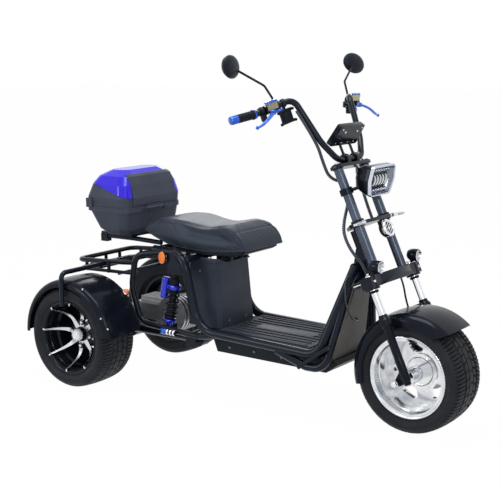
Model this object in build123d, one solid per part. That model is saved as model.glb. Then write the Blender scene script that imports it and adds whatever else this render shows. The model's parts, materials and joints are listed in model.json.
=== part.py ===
from build123d import *
from math import atan2, cos, degrees, pi, radians, sin, sqrt, tan
import os

# Electric three-wheel scooter, millimetres.
# +X is forward, +Y is the rider's left, +Z is up.
# The origin is on the ground, under the middle of the vehicle.

# ---------------------------------------------------------------- wheels
WHEELBASE = 1515.0
REAR_TRACK = 680.0
TYRE_R = 230.0
TYRE_W = 215.0
TYRE_SHOULDER_R = 212.0
RIM_R = 165.0
RIM_HALF_W = 94.0
RIM_WALL = 5.0
BEAD_R = 152.0
BEAD_CLEAR = 0.2
BEAD_HALF_W = 84.0
RIM_FLANGE = 4.0
TREAD_GROOVE_W = 8.0
TREAD_GROOVE_DEPTH = 5.0

# ---------------------------------------------------------------- clearances
FIT = 0.2
RUNNING = 0.05

# ---------------------------------------------------------------- rear fenders
FENDER_R = 266.0
FENDER_WALL = 4.0
FENDER_INNER_Y = 226.0
FENDER_OUTER_Y = 450.0
FENDER_CROWN = 4.0
FENDER_CORNER = 26.0
FENDER_FRONT_ANGLE = 8.0
FENDER_REAR_ANGLE = 180.0
FENDER_SIDE_DEPTH = 32.0
FENDER_SKIRT_R = 202.0
FENDER_SKIRT_ANGLE = 62.0

# ---------------------------------------------------------------- places of the axles
REAR_X = (FENDER_R - WHEELBASE - TYRE_R) / 2
FRONT_X = REAR_X + WHEELBASE
AXLE_Z = TYRE_R
REAR_WHEEL_Y = REAR_TRACK / 2

# ---------------------------------------------------------------- steering head
RAKE = 24.5
STEER_SET_BACK = 40.0
STEER_X = FRONT_X - STEER_SET_BACK
HEAD_TUBE_R = 30.0
HEAD_BORE_R = 15.0
STEM_R = HEAD_BORE_R - RUNNING
HEAD_LOW_W = 402.0
HEAD_HIGH_W = 598.0
HEAD_GAP = 1.0
AXLE_U = STEER_SET_BACK * cos(radians(RAKE))
AXLE_W = -STEER_SET_BACK * sin(radians(RAKE))

# ---------------------------------------------------------------- fork
LEG_Y = 163.0
LEG_U = 76.0
STANCHION_R = 16.5
SLIDER_R = 23.0
SLIDER_COLLAR_R = 26.0
SLIDER_LOW_W = -38.0
LUG_HALF = 15.0
SLIDER_HIGH_W = 240.0
STANCHION_DEPTH = 60.0
TUBE_Y = 100.0
TUBE_U = 77.0
TUBE_R = 19.0
TUBE_TOP_W = 850.0
YOKE_LOW_W = 356.0
YOKE_HIGH_W = HEAD_LOW_W - HEAD_GAP
YOKE_FRONT_U = 102.0
YOKE_BOW = 18.0
YOKE_ARCH = 18.0
YOKE_INNER_Y = 122.0
YOKE_HALF_Y = 194.0
YOKE_ARCH_R = (YOKE_INNER_Y ** 2 + YOKE_ARCH ** 2) / (2 * YOKE_ARCH)
YOKE_ARCH_W = YOKE_LOW_W + YOKE_ARCH - YOKE_ARCH_R
MID_LOW_W = HEAD_HIGH_W + HEAD_GAP
MID_HIGH_W = MID_LOW_W + 26.0
UPPER_YOKE_FRONT_U = TUBE_U + 28.0
UPPER_YOKE_HALF_Y = 126.0
AXLE_R = 8.0

# ---------------------------------------------------------------- frame
RAIL_D = 38.0
RAIL_Y = 190.0
RAIL_Z = 283.0
CAGE_D = 28.0
CROSS_D = 28.0
DECK_TOP = 302.0
DECK_THICK = 8.0
DECK_REAR_X = -108.0
DECK_FRONT_X = STEER_X - 369.5
DECK_CROSS_Z = 270.0
COWL_CROSS_Z = 284.0
SEAT_CROSS_Z = 600.0
SEAT_END_X = -478.0
SEAT_END_Z = 611.0

# ---------------------------------------------------------------- handlebar
BAR_D = 25.0
BAR_W = TUBE_TOP_W + 24.0
BAR_U = TUBE_U + 7.0
GRIP_R = 17.0
BAR_CORNER_Y = 88.0


# ================================================================ helpers
def fork_place():
    """Frame of the steering axis: local X forward, local Z up along the axis."""
    return Pos(STEER_X, 0, AXLE_Z) * Rot(0, -RAKE, 0)


def fork_point(u, y, w):
    """World point of a place given in the frame of the steering axis."""
    c = cos(radians(RAKE))
    s = sin(radians(RAKE))
    return (STEER_X + u * c - w * s, y, AXLE_Z + u * s + w * c)


def bar_point(forward, side, up):
    """World point measured from the middle of the handlebar."""
    centre = fork_point(BAR_U, 0, BAR_W)
    return (centre[0] + forward, side, centre[2] + up)


BAR_END = bar_point(-256.5, 447.0, 164.0)
BAR_PULL = bar_point(-212.5, 335.0, 187.0)
BAR_BEND = bar_point(-134.5, 206.0, 240.0)
BAR_RISE = bar_point(-41.5, 146.0, 70.0)


def mirrored(point):
    """The same point on the other side of the vehicle."""
    return (point[0], -point[1], point[2])


def block(x0, x1, y0, y1, z0, z1):
    """A box between two corners."""
    place = Pos((x0 + x1) / 2, (y0 + y1) / 2, (z0 + z1) / 2)
    return place * Box(x1 - x0, y1 - y0, z1 - z0)


def rod(start, end, radius):
    """A straight round bar between two points."""
    a = Vector(start)
    b = Vector(end)
    plane = Plane(origin=a, z_dir=b - a)
    return extrude(plane * Circle(radius), amount=(b - a).length)


def pipe(points, diameter, radii):
    """A bent round tube along straight runs joined by arcs."""
    path = FilletPolyline(*points, radius=radii)
    section = Plane(origin=path @ 0, z_dir=path % 0) * Circle(diameter / 2)
    return sweep(sections=section, path=path)


def both(shape):
    """A shape and its mirror image on the other side."""
    return [shape, mirror(shape, about=Plane.XZ)]


def cross_wise(radius, y0, y1, x, z):
    """A round bar along Y."""
    return rod((x, y0, z), (x, y1, z), radius)


def ring_wise(outer, inner, y0, y1, x, z):
    """A ring about an axis along Y."""
    return cross_wise(outer, y0, y1, x, z) - cross_wise(inner, y0, y1, x, z)


def save(name, *solids):
    """Write the solids of one node to its file."""
    flat = []
    for shape in solids:
        flat.extend(shape.solids())
    shape = flat[0] if len(flat) == 1 else Compound(children=flat)
    export_step(shape, os.path.join("parts", name + ".step"))


# ================================================================ wheels
def tyre_profile():
    """Half section of a tyre, turned about the wheel's axis."""
    half = TYRE_W / 2
    lip = BEAD_HALF_W
    seat = RIM_HALF_W - RIM_FLANGE - BEAD_CLEAR
    outer = RIM_R + BEAD_CLEAR
    outline = Polyline(
        (BEAD_R, -lip), (RIM_R - 3, 1.5 - seat), (outer, -seat), (outer, -RIM_HALF_W), (190, -half),
        (TYRE_SHOULDER_R, -half + 6), (TYRE_R - 3, -half + 34), (TYRE_R, -half + 60),
        (TYRE_R, half - 60), (TYRE_R - 3, half - 34), (TYRE_SHOULDER_R, half - 6), (190, half),
        (outer, RIM_HALF_W), (outer, seat), (RIM_R - 3, seat - 1.5), (BEAD_R, lip), (BEAD_R, -lip),
    )
    return make_face(outline)


def around_axle(face, x, y, z):
    """Turn a face drawn as radius and width about an axis along Y."""
    solid = revolve(face, axis=Axis.Y, revolution_arc=360)
    return Pos(x, y, z) * solid


def tyre(x, y):
    """A wide low tyre with grooves round its tread."""
    solid = around_axle(tyre_profile(), x, y, AXLE_Z)
    for offset in (-45.0, -15.0, 15.0, 45.0):
        groove = ring_wise(TYRE_R + 5, TYRE_R - TREAD_GROOVE_DEPTH, y + offset - TREAD_GROOVE_W / 2,
                           y + offset + TREAD_GROOVE_W / 2, x, AXLE_Z)
        solid -= groove
    return solid


def rim_barrel_face():
    """Section of a rim's barrel with its two flanges."""
    bead = BEAD_R - BEAD_CLEAR
    lip = BEAD_HALF_W + 1.5
    seat = RIM_HALF_W - RIM_FLANGE
    outline = Polyline(
        (bead - RIM_WALL, -RIM_HALF_W), (RIM_R, -RIM_HALF_W), (RIM_R, -seat),
        (bead, -lip), (bead, lip), (RIM_R, seat), (RIM_R, RIM_HALF_W),
        (bead - RIM_WALL, RIM_HALF_W), (bead - RIM_WALL, -RIM_HALF_W),
    )
    return make_face(outline)


def rim_barrel(x, y):
    """Barrel of a wheel rim with a flange at each edge."""
    return around_axle(rim_barrel_face(), x, y, AXLE_Z)


def window_tool(x, y, angle, inner_r, outer_r, half_angle, thick):
    """A rounded window between two spokes, to cut from a wheel disc."""
    corners = []
    for radius, step in ((inner_r, -0.6), (outer_r, -1.0), (outer_r, 1.0), (inner_r, 0.6)):
        a = radians(angle + step * half_angle)
        corners.append((radius * cos(a), radius * sin(a)))
    face = make_face(Polyline(*corners, close=True))
    face = fillet(face.vertices(), WINDOW_CORNER_R)
    plane = Plane(origin=(x, y, AXLE_Z), x_dir=(1, 0, 0), z_dir=(0, -1, 0))
    return extrude(plane * face, amount=thick, both=True)


FRONT_HUB_R = 32.0
FRONT_HUB_HALF = 98.0
FRONT_WINDOWS = 5
FRONT_WINDOW_ANGLE = 101.0
FRONT_BOSS_R = 74.0
FRONT_DISC_Y = 22.0
FRONT_DISC_THICK = 20.0
WINDOW_CORNER_R = 14.0


def front_rim():
    """Cast front wheel: deep barrel, disc with five rounded windows, hub and raised boss."""
    solid = rim_barrel(FRONT_X, 0)
    inner = BEAD_R - BEAD_CLEAR - RIM_WALL
    disc = cross_wise(inner + 1, FRONT_DISC_Y, FRONT_DISC_Y + FRONT_DISC_THICK, FRONT_X, AXLE_Z)
    for i in range(FRONT_WINDOWS):
        angle = FRONT_WINDOW_ANGLE + i * 360 / FRONT_WINDOWS
        disc -= window_tool(FRONT_X, FRONT_DISC_Y, angle, FRONT_BOSS_R + 6, inner - 17, 22, 60)
    step_y = FRONT_DISC_Y - 9
    disc += cross_wise(FRONT_BOSS_R, step_y, FRONT_DISC_Y, FRONT_X, AXLE_Z)
    disc -= cross_wise(FRONT_BOSS_R - 12, step_y - 1, step_y + 5, FRONT_X, AXLE_Z)
    step = ring_wise(inner + 1, inner - 6, FRONT_DISC_Y - 16, FRONT_DISC_Y, FRONT_X, AXLE_Z)
    hub = cross_wise(FRONT_HUB_R, -FRONT_HUB_HALF, FRONT_HUB_HALF, FRONT_X, AXLE_Z)
    bore = cross_wise(AXLE_R + RUNNING, -150, 150, FRONT_X, AXLE_Z)
    return solid + disc + step + hub - bore


BRAKE_DISC_R = 92.0
BRAKE_DISC_THICK = 4.0
BRAKE_DISC_Y = FRONT_HUB_HALF


def front_disc():
    """Brake disc bolted to the left end of the front hub."""
    y1 = BRAKE_DISC_Y + BRAKE_DISC_THICK
    solid = ring_wise(BRAKE_DISC_R, AXLE_R + 8, BRAKE_DISC_Y, y1, FRONT_X, AXLE_Z)
    for i in range(6):
        a = radians(60 * i)
        x = FRONT_X + 48 * cos(a)
        z = AXLE_Z + 48 * sin(a)
        solid -= cross_wise(13, BRAKE_DISC_Y - 1, y1 + 1, x, z)
    return solid


REAR_HUB_R = 36.0
REAR_SPOKES = 8
REAR_SPOKE_THICK = 18.0
REAR_CAP_DEPTH = 50.0
REAR_SPOKE_DEPTH = 34.0
REAR_AXLE_R = 14.0


def spoke_blade(x, side, angle):
    """One curved spoke from the hub out to the barrel."""
    reach = BEAD_R - BEAD_CLEAR - RIM_WALL + 1
    start = REAR_HUB_R - 6
    mid = (start + reach) / 2
    sweep_back = 20.0
    outline = Line((start, 11), (start, -11))
    lower = ThreePointArc((start, -11), (mid, -sweep_back - 5), (reach, -8))
    tip = Line((reach, -8), (reach, 4))
    upper = ThreePointArc((reach, 4), (mid, -sweep_back + 13), (start, 11))
    face = make_face(Curve() + [outline, lower, tip, upper])
    plane = Plane(origin=(x, 0, AXLE_Z), x_dir=(1, 0, 0), z_dir=(0, -1, 0))
    blade = extrude(plane * (Rot(0, 0, angle) * face), amount=REAR_SPOKE_THICK)
    outer = side * (REAR_WHEEL_Y + RIM_HALF_W - REAR_SPOKE_DEPTH)
    shift = outer if side > 0 else outer + REAR_SPOKE_THICK
    return Pos(0, shift, 0) * blade


def rear_rim(side):
    """Cast rear wheel: deep barrel, eight curved spokes, hub with a cap."""
    y = side * REAR_WHEEL_Y
    solid = rim_barrel(REAR_X, y)
    for i in range(REAR_SPOKES):
        solid += spoke_blade(REAR_X, side, 360 * i / REAR_SPOKES)
    cap_y = y + side * (RIM_HALF_W - REAR_SPOKE_DEPTH + 8)
    hub_in = y - side * 60
    solid += cross_wise(REAR_HUB_R, min(hub_in, cap_y), max(hub_in, cap_y), REAR_X, AXLE_Z)
    bore_end = cap_y - side * 14
    bore_start = hub_in - side * 5
    solid -= cross_wise(REAR_AXLE_R + RUNNING, min(bore_start, bore_end), max(bore_start, bore_end),
                        REAR_X, AXLE_Z)
    return solid


# ================================================================ rear axle and drive
AXLE_TUBE_R = 27.0
AXLE_FLANGE_R = 55.0
SWING_PIVOT_X = -232.0
SWING_Z = 238.0
SWING_Y = 118.0
SWING_D = 44.0
MOTOR_X = REAR_X + 284.5
MOTOR_Z = 300.0
MOTOR_R = 82.0
MOTOR_HALF = 62.0
DIFF_R = 78.0
PIVOT_R = 12.0
SHOCK_Y = 158.0
SHOCK_TOP = (-333.0, 547.0)
SHOCK_LOW = (-386.0, 270.0)
SHOCK_EYE_R = 9.0
SHOCK_PIN_R = SHOCK_EYE_R - FIT


def rear_axle():
    """Axle tube with the differential case and a stub for each wheel."""
    end = REAR_WHEEL_Y - 64
    solid = cross_wise(AXLE_TUBE_R, -end, end, REAR_X, AXLE_Z)
    solid += cross_wise(DIFF_R, -46, 46, REAR_X, AXLE_Z)
    solid += cross_wise(DIFF_R - 20, -62, 62, REAR_X, AXLE_Z)
    reach = REAR_WHEEL_Y + RIM_HALF_W - REAR_SPOKE_DEPTH - 10
    solid += cross_wise(REAR_AXLE_R, -reach, reach, REAR_X, AXLE_Z)
    for side in (-1, 1):
        y = side * (end - 6)
        solid += cross_wise(AXLE_FLANGE_R, y - 6, y + 6, REAR_X, AXLE_Z)
    return solid


def swing_arm():
    """Two arms from the frame pivot to clamps round the axle tube."""
    arms = None
    for side in (-1, 1):
        y = side * SWING_Y
        arm = rod((SWING_PIVOT_X, y, SWING_Z), (REAR_X, y, SWING_Z - 8), SWING_D / 2)
        arm += cross_wise(32, y - 24, y + 24, SWING_PIVOT_X, SWING_Z)
        arm += cross_wise(AXLE_TUBE_R + 14, y - 26, y + 26, REAR_X, AXLE_Z)
        pin_end = side * (SHOCK_Y + 14)
        arm += cross_wise(SHOCK_PIN_R, min(y, pin_end), max(y, pin_end), *SHOCK_LOW)
        lug = side * (SWING_Y + SWING_D / 2)
        arm += block(SHOCK_LOW[0] - 16, SHOCK_LOW[0] + 16, min(y, lug), max(y, lug), SWING_Z, 286)
        arms = arm if arms is None else arms + arm
    arms += cross_wise(20, -SWING_Y, SWING_Y, SWING_PIVOT_X - 62, SWING_Z)
    arms += cross_wise(16, -SWING_Y, SWING_Y, REAR_X + 110, SWING_Z - 6)
    arms -= cross_wise(AXLE_TUBE_R + FIT, -SWING_Y - 60, SWING_Y + 60, REAR_X, AXLE_Z)
    arms -= cross_wise(PIVOT_R + FIT, -SWING_Y - 60, SWING_Y + 60, SWING_PIVOT_X, SWING_Z)
    return arms


def drive_motor():
    """Finned electric motor between the swing arms, with its case to the axle."""
    solid = cross_wise(MOTOR_R, -MOTOR_HALF, MOTOR_HALF, MOTOR_X, MOTOR_Z)
    for i in range(5):
        y = -44 + i * 22
        solid -= ring_wise(MOTOR_R + 5, MOTOR_R - 9, y - 6, y + 6, MOTOR_X, MOTOR_Z)
    front = REAR_X + DIFF_R
    case_top = MOTOR_Z + 34
    solid += block(front - 20, MOTOR_X, -40, 40, SWING_Z + 16, case_top)
    solid -= cross_wise(DIFF_R + FIT, -60, 60, REAR_X, AXLE_Z)
    return solid


def shock(side):
    """Coil-over shock: eyes, damper, spring coils and a side reservoir."""
    top = Vector(SHOCK_TOP[0], side * SHOCK_Y, SHOCK_TOP[1])
    low = Vector(SHOCK_LOW[0], side * SHOCK_Y, SHOCK_LOW[1])
    axis = (top - low).normalized()
    length = (top - low).length
    plane = Plane(origin=low, x_dir=(0, 1, 0), z_dir=axis)
    outline = Polyline(
        (0, 10), (10, 10), (10, 34), (31, 34), (31, 46), (20, 46), (20, 60), (30, 60), (30, 190),
        (20, 190), (20, 200), (31, 200), (31, 214), (22, 214), (22, 236), (12, 236),
        (12, length - 10), (0, length - 10), (0, 10),
    )
    body = revolve(Plane.XZ * make_face(outline), axis=Axis.Z)
    for i in range(6):
        z = 70 + i * 20
        body -= Pos(0, 0, z) * (Cylinder(31, 9) - Cylinder(22, 9))
    solid = plane.location * body
    for point in (low, top):
        y = point.Y
        solid += cross_wise(19, y - 14, y + 14, point.X, point.Z)
        solid -= cross_wise(SHOCK_EYE_R, y - 30, y + 30, point.X, point.Z)
    tank_axis = Vector(axis.X, 0, axis.Z)
    tank_low = low + tank_axis * 128 + Vector(46, side * -2, 12)
    tank_top = tank_low + tank_axis * 92
    solid += rod(tank_low, tank_top, 19)
    bridge = low + tank_axis * 207
    solid += rod(bridge, bridge + Vector(44, 0, 0), 9)
    return solid


# ================================================================ frame
SEAT_RAIL_REAR = (-490.0, 120.0, 610.0)
SEAT_RAIL_BEND = (-272.0, RAIL_Y, 622.0)
DECK_BEND_REAR = (-188.0, RAIL_Y, 296.0)
DECK_BEND_FRONT = (STEER_X - 310.5, RAIL_Y, RAIL_Z)
RAIL_TOP = (STEER_X - 217.5, 60.0, 640.0)
DOWN_TUBE_D = 34.0
DOWN_TUBE_BEND = (STEER_X - 278.0, RAIL_Y, 232.0)
DOWN_TUBE_TOP = (STEER_X - 229.0, 84.0, 560.0)


def side_rail():
    """Main tube of one side, from under the seat to the steering head."""
    points = [SEAT_RAIL_REAR, SEAT_RAIL_BEND, DECK_BEND_REAR, DECK_BEND_FRONT, RAIL_TOP]
    return pipe(points, RAIL_D, [90, 110, 70])


def down_tube():
    """Outer tube of one side, from under the deck rail up in front of it to the neck."""
    x, y, z = DOWN_TUBE_BEND
    return pipe([(x - 230, y, RAIL_Z - 8), (x - 90, y, z - 2), DOWN_TUBE_BEND, DOWN_TUBE_TOP],
                DOWN_TUBE_D, [60, 60])


def bend_gusset(side):
    """Ribbed strip across the front bend, on the outside of the two tubes."""
    y = side * (RAIL_Y + 12)
    x, _, z = DOWN_TUBE_BEND
    return rod((x - 118, y, z - 8), (x + 22, y - side * 8, z + 96), 9)


def cage_loop(diameter=CAGE_D):
    """Bent tube behind each side rail, round the rear shock."""
    points = [(-400, 152, 610), (-545, RAIL_Y, 592), (-572, RAIL_Y, 440), (-520, RAIL_Y, 285),
              (-190, RAIL_Y, 268), (-100, RAIL_Y, 284)]
    return pipe(points, diameter, [60, 160, 70, 110])


def head_tube():
    """Steering head, bored for the stem."""
    length = HEAD_HIGH_W - HEAD_LOW_W
    middle = (HEAD_HIGH_W + HEAD_LOW_W) / 2
    return fork_place() * (Pos(0, 0, middle) * Cylinder(HEAD_TUBE_R, length))


def head_bore():
    """The bore to cut through the steering head and what is welded to it."""
    return fork_place() * (Pos(0, 0, 500) * Cylinder(HEAD_BORE_R, 400))


def neck():
    """Box section and cheek plates that tie the rails to the steering head."""
    x, _, z = RAIL_TOP
    low = z - 40
    high = z + 62
    solid = None
    for side in (-1, 1):
        outline = Polyline((x - 40, low - 60), (x + 42, low + 10), (x + 20, high), (x - 18, high),
                           (x - 40, low - 60))
        plate = Pos(0, side * 26 + 4, 0) * extrude(Plane.XZ * make_face(outline), amount=8)
        solid = plate if solid is None else solid + plate
    solid += cross_wise(20, -62, 62, x - 6, z - 10)
    solid += cross_wise(14, -90, 90, x - 28, z - 80)
    return solid


def main_frame():
    """Welded tube frame with its steering head and brackets."""
    solid = None
    for tube in (side_rail(), cage_loop(), down_tube()):
        for shape in both(tube):
            solid = shape if solid is None else solid + shape
    solid += neck()
    solid += head_tube()
    for x, z in ((-132, COWL_CROSS_Z), (140, DECK_CROSS_Z), (DECK_FRONT_X + 14, DECK_CROSS_Z)):
        solid += cross_wise(CROSS_D / 2, -RAIL_Y, RAIL_Y, x, z)
    solid += cross_wise(CROSS_D / 2, -122, 122, SEAT_END_X, SEAT_END_Z)
    solid += cross_wise(CROSS_D / 2, -RAIL_Y, RAIL_Y, -250, SEAT_CROSS_Z)
    solid += cross_wise(PIVOT_R, -RAIL_Y, RAIL_Y, SWING_PIVOT_X, SWING_Z)
    for side in (-1, 1):
        y = side * RAIL_Y
        solid += bend_gusset(side)
        solid += block(SWING_PIVOT_X - 26, SWING_PIVOT_X + 30, y - 5, y + 5, SWING_Z - 24, 275)
        pin = side * (SHOCK_Y + 14)
        solid += cross_wise(SHOCK_PIN_R, min(pin - side * 30, y), max(pin - side * 30, y), *SHOCK_TOP)
        solid += block(SHOCK_TOP[0] - 24, SHOCK_TOP[0] + 60, y - 5, y + 5, SHOCK_TOP[1] - 20, 618)
    solid -= head_bore()
    return solid


def floor_deck():
    """Foot board that lies between the rails."""
    half = RAIL_Y - RAIL_D / 2 - FIT
    solid = block(DECK_REAR_X, DECK_FRONT_X, -half, half, DECK_TOP - DECK_THICK, DECK_TOP)
    for i in range(9):
        y = -136 + i * 34
        solid += block(DECK_REAR_X + 30, DECK_FRONT_X - 30, y - 6, y + 6, DECK_TOP, DECK_TOP + 4)
    return solid


BATTERY_HALF_Y = 135.0
BATTERY_LOW = 200.0
BATTERY_TOP = DECK_CROSS_Z - CROSS_D / 2 - FIT


def battery_box():
    """Sealed battery case slung under the foot board."""
    front = DECK_FRONT_X + 64
    outline = Polyline((-150, BATTERY_TOP), (-128, BATTERY_LOW), (front, BATTERY_LOW), (front + 55, 240),
                       (front + 40, BATTERY_TOP), (-150, BATTERY_TOP))
    solid = extrude(Plane.XZ * make_face(outline), amount=BATTERY_HALF_Y, both=True)
    return solid


COVER_LOW_HALF_Y = 118.0
COVER_TOP_HALF_Y = 60.0


def front_cover():
    """Panel between the rising rails, in front of the rider's feet."""
    foot = Pos(DECK_FRONT_X + 74, 0) * Rectangle(36, 2 * COVER_LOW_HALF_Y)
    head = Pos(RAIL_TOP[0] - 16, 0) * Rectangle(30, 2 * COVER_TOP_HALF_Y)
    low = Plane.XY.offset(BATTERY_TOP + FIT) * foot
    high = Plane.XY.offset(RAIL_TOP[2] - 100) * head
    return loft([low, high], ruled=True)


COWL_FRONT_X = -116.0
COWL_REAR_X = -290.0
COWL_LOW = COWL_CROSS_Z + CROSS_D / 2 + FIT
COWL_TOP = SEAT_CROSS_Z - CROSS_D / 2 - FIT
COWL_WALL = 4.0
COWL_HALF_Y = 128.0
COWL_CORNER = 16.0
COWL_LEAN = 20.0


def seat_cowl():
    """Hollow moulding under the seat, closed at the front and sides."""
    def outline(inset):
        top = COWL_HALF_Y - 14 - inset
        half = COWL_HALF_Y - inset
        front = COWL_FRONT_X - inset
        turn = COWL_CORNER
        lean = COWL_LEAN
        low = Plane.XY.offset(COWL_LOW) * Polyline(
            (COWL_REAR_X, -half), (front - turn, -half), (front, -half + turn), (front, half - turn),
            (front - turn, half), (COWL_REAR_X, half), (COWL_REAR_X, -half))
        high = Plane.XY.offset(COWL_TOP) * Polyline(
            (COWL_REAR_X, -top), (front - lean - turn, -top), (front - lean, -top + turn),
            (front - lean, top - turn), (front - lean - turn, top), (COWL_REAR_X, top),
            (COWL_REAR_X, -top))
        return loft([make_face(low), make_face(high)], ruled=True)
    return outline(0) - outline(COWL_WALL)


SEAT_HALF_Y = 142.0
SEAT_HINGE_X = -112.0
SEAT_HINGE_Z = 606.0
SEAT_PIN_R = 5.0
SEAT_BOARD = 10.0


def seat_under(drop, start=0, end=None):
    """Line of the seat's underside, lowered by a distance."""
    points = [(-536, 700), (-430, 654), (-300, 634), (-100, 638), (32, 655)]
    return Spline(*[(x, z - drop) for x, z in points[start:end]])


def seat_cushion():
    """Long seat with a raised pillion end and a drooping nose."""
    outline = [
        Line((-536, 700), (-530, 735)),
        Spline((-530, 735), (-455, 749), (-320, 750), (-175, 738), (-52, 750), (6, 715), (32, 655)),
        seat_under(0),
    ]
    face = make_face(Curve() + outline)
    return extrude(Plane.XZ * face, amount=SEAT_HALF_Y, both=True)


def seat_base():
    """Shaped board under the cushion with the leaves of its front hinge."""
    top = seat_under(FIT)
    low = seat_under(SEAT_BOARD)
    face = make_face(Curve() + [top, Line(top @ 1, low @ 1), low, Line(low @ 0, top @ 0)])
    board = extrude(Plane.XZ * face, amount=SEAT_HALF_Y - 26, both=True)
    board &= block(-470, 10, -200, 200, 500, 760)
    for side in (-1, 1):
        y0 = min(side * 18, side * 44)
        knuckle = block(SEAT_HINGE_X - 6, SEAT_HINGE_X + 6, y0, y0 + 26, SEAT_HINGE_Z, 632)
        knuckle += cross_wise(9, y0, y0 + 26, SEAT_HINGE_X, SEAT_HINGE_Z)
        board += knuckle
    board -= cross_wise(SEAT_PIN_R + RUNNING, -60, 60, SEAT_HINGE_X, SEAT_HINGE_Z)
    return board


def seat_hinge():
    """Bracket and pin at the front of the cowl that the seat tips on."""
    solid = block(COWL_FRONT_X - 40, SEAT_HINGE_X + 9, -70, 70, COWL_TOP, COWL_TOP + 6)
    for side in (-1, 1):
        y0 = min(side * 50, side * 62)
        solid += block(SEAT_HINGE_X - 9, SEAT_HINGE_X + 9, y0, y0 + 12, COWL_TOP, SEAT_HINGE_Z)
        solid += cross_wise(9, y0, y0 + 12, SEAT_HINGE_X, SEAT_HINGE_Z)
    solid += cross_wise(SEAT_PIN_R, -62, 62, SEAT_HINGE_X, SEAT_HINGE_Z)
    return solid


def sector(x, z, start, end, reach):
    """A wedge between two angles about an axis along Y, to keep part of a ring."""
    corners = [(x, z)]
    steps = 8
    for i in range(steps + 1):
        a = radians(start + i * (end - start) / steps)
        corners.append((x + 1.2 * reach * cos(a), z + 1.2 * reach * sin(a)))
    corners.append((x, z))
    return extrude(Plane.XZ * make_face(Polyline(*corners)), amount=600, both=True)


def guard_outline(radius, low_y, high_y, corner, drop, crown):
    """Closed section of a guard: side walls, round shoulders and a crowned top."""
    shoulder = radius - corner
    turn = corner * (1 - sin(radians(45)))
    lines = [
        Line((radius - drop, low_y), (shoulder, low_y)),
        ThreePointArc((shoulder, low_y), (radius - turn, low_y + turn), (radius, low_y + corner)),
        ThreePointArc((radius, low_y + corner), (radius + crown, (low_y + high_y) / 2),
                      (radius, high_y - corner)),
        ThreePointArc((radius, high_y - corner), (radius - turn, high_y - turn), (shoulder, high_y)),
        Line((shoulder, high_y), (radius - drop, high_y)),
        Line((radius - drop, high_y), (radius - drop, low_y)),
    ]
    return make_face(Curve() + lines)


def guard(x, z, radius, low_y, high_y, corner, drop, crown, wall):
    """A guard turned all the way round an axis along Y."""
    outer = guard_outline(radius, low_y, high_y, corner, drop, crown)
    inner = guard_outline(radius - wall, low_y + wall, high_y - wall, corner - wall, drop, crown)
    return Pos(x, 0, z) * revolve(outer - inner, axis=Axis.Y, revolution_arc=360)


def rear_fender(side):
    """Curved sheet over a rear wheel, deeper towards the rider on its outer side."""
    low = min(side * FENDER_INNER_Y, side * FENDER_OUTER_Y)
    high = max(side * FENDER_INNER_Y, side * FENDER_OUTER_Y)
    solid = guard(REAR_X, AXLE_Z, FENDER_R - FENDER_CROWN, low, high, FENDER_CORNER, FENDER_SIDE_DEPTH,
                  FENDER_CROWN, FENDER_WALL)
    inner_y = side * (FENDER_INNER_Y + FENDER_WALL)
    inner_edge = FENDER_R - FENDER_CROWN - FENDER_CORNER
    cheek = ring_wise(inner_edge + 1, inner_edge - 58, min(inner_y, side * FENDER_INNER_Y),
                      max(inner_y, side * FENDER_INNER_Y), REAR_X, AXLE_Z)
    outer_y = side * (FENDER_OUTER_Y - FENDER_WALL)
    skirt = ring_wise(inner_edge + 1, FENDER_SKIRT_R, min(outer_y, side * FENDER_OUTER_Y),
                      max(outer_y, side * FENDER_OUTER_Y), REAR_X, AXLE_Z)
    skirt &= sector(REAR_X, AXLE_Z, FENDER_FRONT_ANGLE, FENDER_SKIRT_ANGLE, FENDER_R + 50)
    solid += cheek
    solid += skirt
    return solid & sector(REAR_X, AXLE_Z, FENDER_FRONT_ANGLE, FENDER_REAR_ANGLE, FENDER_R + 50)


RACK_D = 22.0
RACK_Z = 528.0
RACK_REAR_X = REAR_X - 175.5
RACK_DROP = 40.0
RACK_LOW_D = 16.0
HOOP_X = REAR_X


def rear_rack():
    """Luggage loop with a lower rail on posts, and the hoop that holds both fenders."""
    solid = pipe([(-556, -RAIL_Y, 552), (-640, -RAIL_Y, 545), (RACK_REAR_X, -185, RACK_Z),
                  (RACK_REAR_X, 185, RACK_Z), (-640, RAIL_Y, 545), (-556, RAIL_Y, 552)],
                 RACK_D, [120, 45, 45, 120])
    low = RACK_Z - RACK_DROP
    solid += pipe([(-572, -RAIL_Y, low + 14), (RACK_REAR_X + 6, -185, low), (RACK_REAR_X + 6, 185, low),
                   (-572, RAIL_Y, low + 14)], RACK_LOW_D, [45, 45])
    for x in (RACK_REAR_X + 60, RACK_REAR_X + 200):
        for side in (-1, 1):
            solid += rod((x, side * 186, low), (x, side * 186, RACK_Z + 5), RACK_LOW_D / 2)
    for y in (-95, 0, 95):
        solid += rod((RACK_REAR_X + 3, y, low), (RACK_REAR_X + 3, y, RACK_Z), RACK_LOW_D / 2)
    y = FENDER_OUTER_Y + RACK_D / 2 + FIT
    solid += pipe([(HOOP_X, -y, 380), (HOOP_X, -y, RACK_Z), (HOOP_X, y, RACK_Z), (HOOP_X, y, 380)],
                  RACK_D, [28, 28])
    for x in (RACK_REAR_X + 90, RACK_REAR_X + 260):
        solid += cross_wise(7, -186, 186, x, low + 2)
    for shape in both(cage_loop(CAGE_D + 2 * FIT)):
        solid -= shape
    return max(solid.solids(), key=lambda item: item.volume)


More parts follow.
